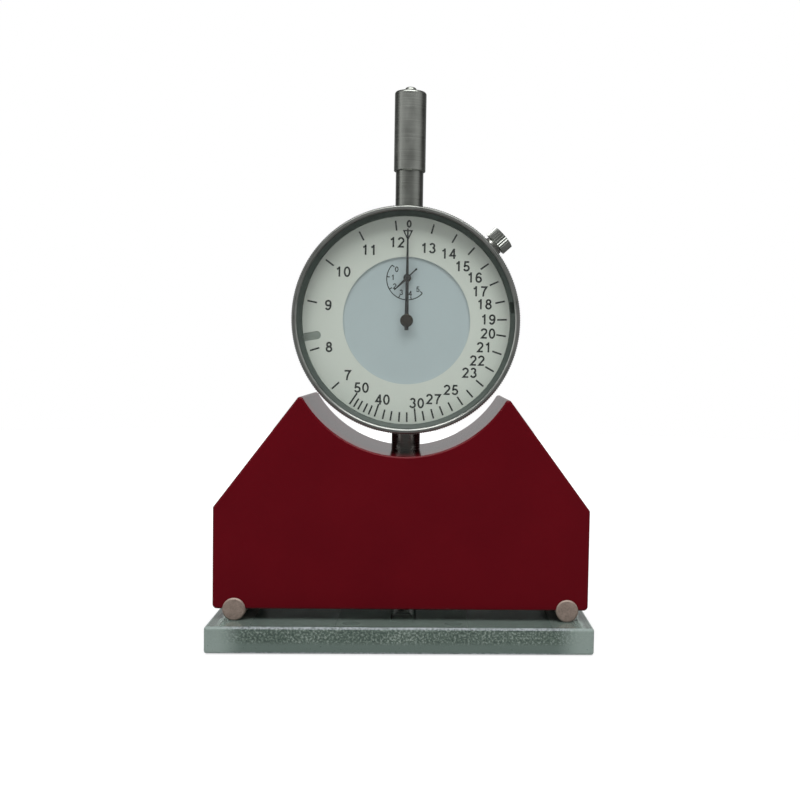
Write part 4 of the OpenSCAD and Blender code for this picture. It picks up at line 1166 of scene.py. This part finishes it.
@dataclass(frozen=True)
class Figures:
    """Plain grotesque figures, drawn as strokes on a field one high: the middle line of each stroke."""

    advance: float = 0.79
    width: float = 0.66
    weight: float = 0.175
    strokes: dict[str, tuple[list[Point2], ...]] = field(default_factory=lambda: {
        "0": (arc(0.33, 0.5, 0.245, 0.43, 90, 450, 24),),
        "1": ([(0.37, 0.0), (0.37, 1.0)], [(0.4, 0.94), (0.29, 0.81), (0.12, 0.73)]),
        "2": (arc(0.33, 0.69, 0.245, 0.24, 172, -32) + [(0.36, 0.37), (0.12, 0.075), (0.61, 0.075)],),
        "3": (arc(0.315, 0.725, 0.21, 0.205, 160, -80, 12), arc(0.315, 0.3, 0.25, 0.23, 80, -165)),
        "4": ([(0.49, 0.0), (0.49, 1.0)], [(0.45, 0.9), (0.1, 0.31), (0.66, 0.31)]),
        "5": ([(0.58, 0.925), (0.2, 0.925), (0.135, 0.5)] + arc(0.32, 0.32, 0.25, 0.245, 135, -160),),
        "6": (arc(0.335, 0.31, 0.235, 0.24, 90, 450, 20),
              arc(0.36, 0.715, 0.21, 0.21, 15, 110, 8) + [(0.15, 0.76), (0.1, 0.5), (0.1, 0.31)]),
        "7": ([(0.05, 0.925), (0.6, 0.925), (0.42, 0.64), (0.31, 0.34), (0.27, 0.0)],),
        "8": (arc(0.33, 0.735, 0.195, 0.19, 90, 450, 18), arc(0.33, 0.3, 0.24, 0.225, 90, 450, 20)),
        "9": (arc(0.325, 0.69, 0.235, 0.24, 90, 450, 20),
              arc(0.3, 0.285, 0.21, 0.21, 195, 290, 8) + [(0.51, 0.24), (0.56, 0.5), (0.56, 0.69)]),
    })

    def paths(self, numerals: Iterable[Numeral]) -> list[list[Point2]]:
        """Gives the strokes of some numerals in millimetres, in the dial's frame.

        Args:
            numerals: The numerals.

        Returns:
            One list of points for each stroke.
        """
        found = []
        for numeral in numerals:
            span = self.advance * (len(numeral.text) - 1) + self.width
            for place, letter in enumerate(numeral.text):
                left = place * self.advance - span / 2
                for stroke in self.strokes[letter]:
                    found.append([(numeral.x + (x + left) * numeral.height, numeral.y + (y - 0.5) * numeral.height)
                                  for x, y in stroke])
        return found


def ribbon(path: Sequence[Point2], width: float, thick: float, sharpest: float = 0.45,
           meeting: float = 0.01) -> tuple[list[Point3], Faces]:
    """Gives the mesh of a thin printed line along a path, in metres. It is closed if its ends meet.

    Args:
        path: Points of its middle line, in millimetres.
        width: Its width in millimetres.
        thick: Its thickness in millimetres.
        sharpest: Least share of the mitre that a sharp corner keeps.
        meeting: Share of the width within which its ends meet.

    Returns:
        The points and the faces.
    """
    line = [Vector(p) for p in path]
    closed = (line[0] - line[-1]).length < width * meeting
    if closed:
        line.pop()
    count = len(line)
    points: list[Point3] = []
    for i, here in enumerate(line):
        ahead = line[(i + 1) % count] - here if closed or i < count - 1 else None
        behind = here - line[i - 1] if closed or i else None
        sides = [Vector((-w.normalized().y, w.normalized().x)) for w in (behind, ahead) if w is not None]
        mean = sum(sides, Vector((0, 0))).normalized()
        half = mean * width / 2 / max(mean.dot(sides[0]), sharpest)
        for edge in (here + half, here - half):
            points += [(edge.x * MM, edge.y * MM, z * thick / 2 * MM) for z in (1, -1)]
    faces: Faces = []
    for i in range(count if closed else count - 1):
        a, b = 4 * i, 4 * ((i + 1) % count)
        faces += [(a, b, b + 2, a + 2), (a + 1, a + 3, b + 3, b + 1),
                  (a, a + 1, b + 1, b), (a + 2, b + 2, b + 3, a + 3)]
    if not closed:
        last = 4 * (count - 1)
        faces += [(0, 2, 3, 1), (last, last + 1, last + 3, last + 2)]
    return points, faces


@dataclass
class Printing:
    """What is printed on the two dial sheets: marks, numerals, the zero mark and the small dial.

    lift is the thickness of a print, and every other line is thicker by the share uneven.
    """

    lift: float = 0.02
    uneven: float = 0.3
    ring_up: float = -0.25
    mark_w: float = 0.46
    outer: float = 27.2
    inner: float = 24.55
    long_inner: float = 23.55
    long_marks: tuple[int, ...] = (30, 40, 50)
    angles: dict[int, float] = field(default_factory=lambda: {
        7: 227.1, 8: 252.2, 9: 280.8, 10: 306.4, 11: 331.3, 12: 352.9, 13: 14.9, 14: 29.1, 15: 41.6, 16: 53.7,
        17: 65.3, 18: 77.1, 19: 87.7, 20: 97.2, 21: 107.9, 22: 118.7, 23: 129.1, 24: 137.8, 25: 145.1, 26: 151.9,
        27: 157.9, 28: 163.6, 29: 169.2, 30: 174.0, 32: 179.1, 34: 183.7, 36: 188.6, 38: 193.1, 40: 197.9,
        42: 201.5, 44: 204.7, 46: 208.2, 48: 211.0, 50: 213.8,
    })
    numerals: tuple[Numeral, ...] = tuple(Numeral(str(number), x, y) for number, x, y in (
        (12, -2.9, 21.0), (13, 5.55, 19.65), (14, 11.0, 18.3), (15, 14.85, 15.0), (16, 18.2, 12.05),
        (17, 19.65, 8.35), (18, 21.0, 4.9), (19, 22.1, 0.8), (20, 22.1, -3.0), (21, 21.1, -6.75),
        (22, 19.3, -10.4), (23, 17.25, -13.75), (25, 12.3, -18.5), (27, 7.55, -21.1), (30, 3.05, -22.25),
        (40, -6.25, -21.45), (50, -11.95, -18.3), (7, -15.75, -15.0), (8, -20.8, -7.5), (9, -21.1, 3.75),
        (10, -17.25, 12.8), (11, -10.3, 18.8),
    ))
    zero: Numeral = Numeral("0", 0.3, 26.0, 1.85)
    zero_mark: tuple[Point2, ...] = ((-1.1, 24.15), (1.1, 24.15), (0.0, 21.8), (-1.1, 24.15))
    zero_line: float = 0.36
    figures: Figures = Figures()
    small_up: float = -0.35
    small_r: float = 5.55
    small_zero: float = 137.9
    small_step: float = 36.0
    small_count: int = 6
    small_mark: float = 0.8
    small_mark_w: float = 0.28
    small_line: float = 0.26
    small_arc_steps: int = 48
    small_height: float = 1.45
    small_text_r: float = 3.9

    def printed(self, piece: Object, sheet: Sheet) -> None:
        """Lays a print on its sheet, and lets it move with the sheet's body.

        Args:
            piece: The print, in the dial's frame.
            sheet: Where it lies.
        """
        moved(piece, PLACES.dial(sheet.front + self.lift / 2) @ Matrix.Translation((0, sheet.up * MM, 0)))
        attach(piece, sheet.body.value)
        log.info("%s: %d faces", piece.name, len(piece.data.polygons))

    def marks(self, name: str, marks: Iterable[Mark], width: float, sheet: Sheet, ring: MarkRing) -> None:
        """Prints a set of marks as thin bars.

        Args:
            name: Name of the piece.
            marks: The marks.
            width: Width of a bar.
            sheet: Where they lie.
            ring: Tree that makes the bars.
        """
        points, turns, reaches = [], [], []
        for mark in marks:
            turn = -math.radians(mark.angle)
            middle = (mark.inner + mark.outer) / 2
            points.append((-middle * math.sin(turn) * MM, middle * math.cos(turn) * MM, 0.0))
            turns.append(turn)
            reaches.append(mark.outer - mark.inner)
        piece = mesh_piece(name, points, [], PRINT_INK)
        for key, values in (("turn", turns), ("reach", reaches)):
            piece.data.attributes.new(key, "FLOAT", "POINT").data.foreach_set("value", values)
        self.printed(ring.run(piece, PRINT_INK, Width=width * MM, Thickness=self.lift * MM), sheet)

    def lines(self, name: str, paths: Iterable[Sequence[Point2]], width: float, sheet: Sheet) -> None:
        """Prints lines along paths, a hair thicker at every other one so that crossings stay clean.

        Args:
            name: Name of the piece.
            paths: Points of each line, in the dial's frame.
            width: Width of the lines.
            sheet: Where they lie.
        """
        points: list[Point3] = []
        faces: Faces = []
        for k, path in enumerate(paths):
            more, flat = ribbon(path, width, self.lift * (1 + k % 2 * self.uneven))
            faces += [tuple(i + len(points) for i in face) for face in flat]
            points += more
        self.printed(outward(mesh_piece(name, points, faces, PRINT_INK, smooth=False)), sheet)

    def build(self) -> None:
        """Prints both dial sheets."""
        ring = MarkRing()
        scale = Sheet(PLACES.ring_face, 0.0, Body.BEZEL)
        small = Sheet(PLACES.disc_face, PLACES.counter_up + self.small_up, Body.GAUGE)
        marks = [Mark(angle, self.long_inner if number in self.long_marks else self.inner, self.outer)
                 for number, angle in self.angles.items()]
        self.marks("scale_marks", marks, self.mark_w, Sheet(PLACES.ring_face, self.ring_up, Body.BEZEL), ring)
        height = self.numerals[0].height
        self.lines("scale_numerals", self.figures.paths((*self.numerals, self.zero)), height * self.figures.weight,
                   scale)
        self.lines("zero_mark", [self.zero_mark], self.zero_line, scale)
        steps = [self.small_zero + self.small_step * k for k in range(self.small_count)]
        round_small = arc(0, 0, self.small_r, self.small_r, steps[0], steps[-1], self.small_arc_steps)
        self.lines("small_dial_arc", [round_small], self.small_line, small)
        marks = [Mark(90 - a, self.small_r - self.small_mark, self.small_r) for a in steps]
        self.marks("small_dial_marks", marks, self.small_mark_w, small, ring)
        words = [Numeral(str(k), self.small_text_r * math.cos(a), self.small_text_r * math.sin(a), self.small_height)
                 for k, a in enumerate(math.radians(step) for step in steps)]
        self.lines("small_dial_numerals", self.figures.paths(words), self.small_height * self.figures.weight, small)


@dataclass
class TurnedPieces:
    """Turned pieces whose edges are rounded for the eye: the needle's hub and the dust cap."""

    hub_r: float = 1.75
    hub_back: float = 13.35
    hub_seat: float = 14.0
    hub_front: float = 14.45
    neck_r: float = 1.0
    hub_steps: int = 64
    cap_r: float = 4.4
    cap_z: float = 129.05
    cap_len: float = 22.0
    cap_bore: float = 3.88
    cap_wall: float = 1.5
    dome_r: float = 1.6
    dome_h: float = 1.3
    cap_steps: int = 96

    def hub(self) -> None:
        """Builds the needle's hub: a flat button with a rounded edge."""
        profile = rounded_corners([
            (0.0, self.hub_back, 0.0), (self.neck_r, self.hub_back, 0.0), (self.neck_r, self.hub_seat, 0.0),
            (self.hub_r, self.hub_seat, 0.05), (self.hub_r, self.hub_front, 0.3), (0.0, self.hub_front, 0.0),
        ])
        hub = moved(lathe("needle_hub", profile, HUB_BRONZE, self.hub_steps), PLACES.dial())
        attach(hub, Body.POINTER.value)
        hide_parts("pointer_hub")
        log.info("needle hub: %d faces", len(hub.data.polygons))

    def cap(self) -> None:
        """Builds the dust cap with its small dome."""
        top = self.cap_z + self.cap_len
        profile = rounded_corners([
            (self.cap_bore, self.cap_z, 0.1), (self.cap_r, self.cap_z, 0.3), (self.cap_r, top, 0.7),
            (self.dome_r, top, 0.0), (self.dome_r, top + self.dome_h, 0.75), (0.0, top + self.dome_h, 0.0),
            (0.0, top - self.cap_wall, 0.0), (self.cap_bore, top - self.cap_wall, 0.0),
        ])
        cap = lathe("dust_cap_shell", profile, CAP_CHROME_PAINTED_LIGHTER, self.cap_steps)
        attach(cap, Body.CAP.value)
        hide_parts("dust_cap")
        log.info("dust cap: %d faces", len(cap.data.polygons))


@dataclass
class Springs:
    """The coil springs inside, each copied from its CAD node."""

    nodes: dict[str, Object]

    def build(self) -> None:
        """Builds the return spring and the two force springs."""
        self.coil("return_spring", "return_coil")
        self.coil("force_springs", "force_coils")

    def coil(self, node: str, name: str) -> None:
        """Builds one node's coils as a piece of its own, with the spring's finish.

        Args:
            node: CAD node, whose coils are taken over.
            name: Name of the piece.
        """
        piece = linked(name, self.nodes[node].data.copy())
        piece.data.name = name
        piece.data.materials.clear()
        piece.data.materials.append(SPRING_STEEL.material())
        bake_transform(piece)
        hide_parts(node)
        log.info("%s: %d faces", name, len(piece.data.polygons))


@dataclass
class Hardware:
    """CAD nodes that keep their shape and get a better finish."""

    nodes: dict[str, Object]
    finishes: dict[Finish, str] = field(default_factory=lambda: {
        ROD_STEEL: "support_rod_left support_rod_right",
        PIN_STEEL: "measuring_bar guide_pins anvil spindle spindle_head rack_arbor centre_arbor counter_arbor "
                   "clamp_washer",
        PLAIN_ALUMINIUM: "bottom_cover bar_carriage",
        SCREW_STEEL: "bottom_cover_screws bar_screws back_cover_screws front_plate_screws rear_plate_screws "
                     "bridge_screws spring_post",
        BLACK_STEEL: "stem_clamp_screw contact_point",
        SPRING_STEEL: "bezel_spring_wire",
        BRASS: "guide_bushes front_plate rear_plate plate_pillars rack_bridge bridge_spacers spindle_arm main_gear "
               "counter_gear hairspring_collet hairspring_stud",
        BLUED_STEEL: "hairspring",
        GASKET: "case_gasket",
        STEM_CHROME: "lower_stem",
        TUBE_CHROME_PAINTED_LIGHTER: "upper_tube",
        CASE_CHROME: "indicator_case back_cover clamp_claw",
        KEY_GREY: "dial_key",
        CLAMP_GREY: "crystal_ring",
        SCALE_CREAM: "dial_ring",
        DISC_BLUE: "inner_dial",
        HAND_BLACK: "main_pointer counter_hand",
        CRYSTAL: "crystal",
    })

    def dress(self) -> None:
        """Gives every carried-over node its finish."""
        for finish, names in self.finishes.items():
            for name in names.split():
                slots = self.nodes[name].data.materials
                if not slots:
                    slots.append(finish.material())
                for i in range(len(slots)):
                    slots[i] = finish.material()
            log.info("%s: %s", finish.name, names)


# Studio


@dataclass(frozen=True)
class FloorPaper(Finish):
    """White paper sweep: it shows white to the camera, and keeps the shadow round the plate."""

    shade: float = 0.3
    fibre: float = 0.01
    fibre_mm: float = 3.0
    lit: float = 0.6
    mirrored: float = 0.12
    near_glow: float = 0.7
    far_glow: float = 1.0
    glow_reach: float = 0.35

    def surface(self, tree: Tree) -> Node:
        """Matte white, with a glow for rays that see it.

        Args:
            tree: Tree that takes the nodes.

        Returns:
            The shader's last node.
        """
        at = self.place(tree)
        fibres = add(tree, NOISE, {"Vector": at, "Scale": per_grain(self.fibre_mm), "Detail": 3.0})
        tones = add(tree, RAMP, {0: fibres},
                    ((0.3, grey(self.shade - self.fibre)), (0.7, grey(self.shade + self.fibre))))
        shown = add(tree, "ShaderNodeBsdfDiffuse", {"Color": tones})
        away = add(tree, "ShaderNodeVectorMath", {0: at}, operation="LENGTH")
        strength = add(tree, "ShaderNodeMapRange", {
            "Value": away, "From Max": self.glow_reach, "To Min": self.near_glow, "To Max": self.far_glow,
        })
        glow = add(tree, "ShaderNodeEmission", {"Color": grey(1.0), "Strength": strength})
        both = add(tree, "ShaderNodeAddShader", {0: shown, 1: glow})
        path = add(tree, "ShaderNodeLightPath").outputs
        tone = add(tree, MIX, data_type="RGBA", inputs={
            "Factor": path["Is Glossy Ray"], "A": grey(self.lit), "B": grey(self.mirrored),
        })
        plain = add(tree, "ShaderNodeBsdfDiffuse", {"Color": tone})
        return add(tree, "ShaderNodeMixShader", {0: path["Is Camera Ray"], 1: plain, 2: both})


@dataclass(frozen=True)
class Softbox:
    """A studio lamp: its place and target in metres, size and power, and whether metal and gloss mirror it."""

    name: str
    place: Point3
    width: float
    height: float
    watts: float
    target: Point3 = (0.0, 0.0, 0.07)
    mirrored: bool = True


@dataclass
class Studio:
    """Camera, floor, world and lamps.

    The eye is in millimetres, its angles are in degrees, and the focal length and shift are in pixels of the
    photograph's frame. The shift is there because the photograph is cropped off its lens's axis.
    """

    eye: Point3 = (5.681, -325.827, 76.975)
    yaw: float = -3.387
    pitch: float = 3.414
    roll: float = 1.106
    focal_px: float = 1148.37
    shift_px: Point2 = (-93.84, 28.8)
    frame_px: float = 800.0
    sensor_mm: float = 36.0
    clip: Point2 = (0.01, 20.0)
    floor_r: float = 0.9
    floor_z: float = -0.0003
    floor_steps: int = 96
    ambient: float = 0.3
    room: tuple[Point2, ...] = (
        (0.0, 0.16), (0.08, 0.22), (0.18, 0.52), (0.29, 0.52), (0.4, 0.07), (0.6, 0.05), (0.84, 0.08), (0.93, 0.35),
        (1.0, 0.41),
    )
    lamps: tuple[Softbox, ...] = (
        Softbox("overhead", (0.0, -0.5, 0.95), 1.2, 0.7, 13.0),
        Softbox("left_panel", (-0.95, -0.2, 0.25), 0.35, 0.9, 0.8),
        Softbox("right_panel", (0.95, -0.2, 0.25), 0.35, 0.9, 0.35),
        Softbox("rear_panel", (0.0, 0.95, 0.45), 1.0, 0.6, 4.0, mirrored=False),
    )

    def camera(self) -> None:
        """Stands the camera where the photograph was taken from."""
        yaw, pitch, roll = (math.radians(v) for v in (self.yaw, self.pitch, self.roll))
        ahead = Vector((-math.sin(yaw) * math.cos(pitch), math.cos(yaw) * math.cos(pitch), -math.sin(pitch)))
        level = Vector((math.cos(yaw), math.sin(yaw), 0.0))
        upright = level.cross(ahead)
        right = level * math.cos(roll) + upright * math.sin(roll)
        up = upright * math.cos(roll) - level * math.sin(roll)
        data = bpy.data.cameras.new("camera")
        data.sensor_width = self.sensor_mm
        data.lens = self.sensor_mm * self.focal_px / self.frame_px
        data.shift_x, data.shift_y = (v / self.frame_px for v in self.shift_px)
        data.clip_start, data.clip_end = self.clip
        camera = linked("camera", data)
        matrix = Matrix((right, up, -ahead)).transposed().to_4x4()
        matrix.translation = Vector(self.eye) * MM
        camera.matrix_world = matrix
        bpy.context.scene.camera = camera

    def floor(self) -> None:
        """Lays a plain white floor that keeps the gauge's shadow, and goes down with the plate that stands on it."""
        turns = [FULL_TURN * k / self.floor_steps for k in range(self.floor_steps)]
        rim = [(self.floor_r * math.cos(a), self.floor_r * math.sin(a), self.floor_z) for a in turns]
        floor = mesh_piece("floor", rim, [tuple(range(self.floor_steps))], FloorPaper("floor_paper"), smooth=False)
        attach(floor, Body.PLATE.value)

    def world(self) -> None:
        """Lights the gauge evenly, shows a white background, and gives metal a soft room to mirror.

        Rays that see the background, straight or through glass, get white. A ray that has left a matt surface
        is light on the gauge, so it gets the even light.
        """
        world = bpy.data.worlds.new("studio")
        world.use_nodes = True
        bpy.context.scene.world = world
        tree = world.node_tree
        tree.nodes.clear()
        path = add(tree, "ShaderNodeLightPath").outputs
        unscattered = add(tree, MATHS, {0: path["Diffuse Depth"], 1: 0.5}, operation="LESS_THAN")
        through = add(tree, MATHS, {0: path["Is Transmission Ray"], 1: unscattered}, operation="MULTIPLY")
        seen = add(tree, MATHS, {0: path["Is Camera Ray"], 1: through}, operation="MAXIMUM")
        way = add(tree, "ShaderNodeTexCoord").outputs["Generated"]
        depth = add(tree, "ShaderNodeSeparateXYZ", {0: way}).outputs["Y"]
        share = add(tree, "ShaderNodeMapRange", {"Value": depth, "From Min": -1.0, "From Max": 1.0})
        room = add(tree, RAMP, {0: share}, tuple((at, grey(level)) for at, level in self.room))
        colour: Colour | Node = grey(self.ambient)
        for factor, over in ((path["Is Glossy Ray"], room), (seen, grey(1.0))):
            colour = add(tree, MIX, data_type="RGBA", inputs={"Factor": factor, "A": colour, "B": over})
        light = add(tree, "ShaderNodeBackground", {"Color": colour, "Strength": 1.0})
        add(tree, "ShaderNodeOutputWorld", {"Surface": light})

    def lights(self) -> None:
        """Hangs the softboxes."""
        for box in self.lamps:
            data = bpy.data.lights.new(box.name, "AREA")
            data.shape = "RECTANGLE"
            data.size, data.size_y, data.energy = box.width, box.height, box.watts
            lamp = linked(box.name, data)
            lamp.visible_glossy = box.mirrored
            lamp.location = box.place
            way = Vector(box.target) - Vector(box.place)
            lamp.rotation_euler = way.to_track_quat("-Z", "Y").to_euler()

    def build(self) -> None:
        """Sets up the whole studio."""
        self.camera()
        self.floor()
        self.world()
        self.lights()
        bpy.context.scene.view_settings.view_transform = "Standard"
        log.info("studio: %d lamps", len(self.lamps))


def main() -> None:
    """Builds the studio and dresses the gauge, piece by piece."""
    logging.basicConfig(level=logging.INFO, format="%(name)s: %(message)s")
    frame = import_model()
    Studio().build()
    Block().build()
    SettingPlate().build()
    bezel = Bezel(RidgeRing())
    bezel.ring()
    bezel.knob()
    Printing().build()
    turned = TurnedPieces()
    turned.hub()
    turned.cap()
    Springs(frame["nodes"]).build()
    Hardware(frame["nodes"]).dress()


if __name__ == "__main__":
    main()
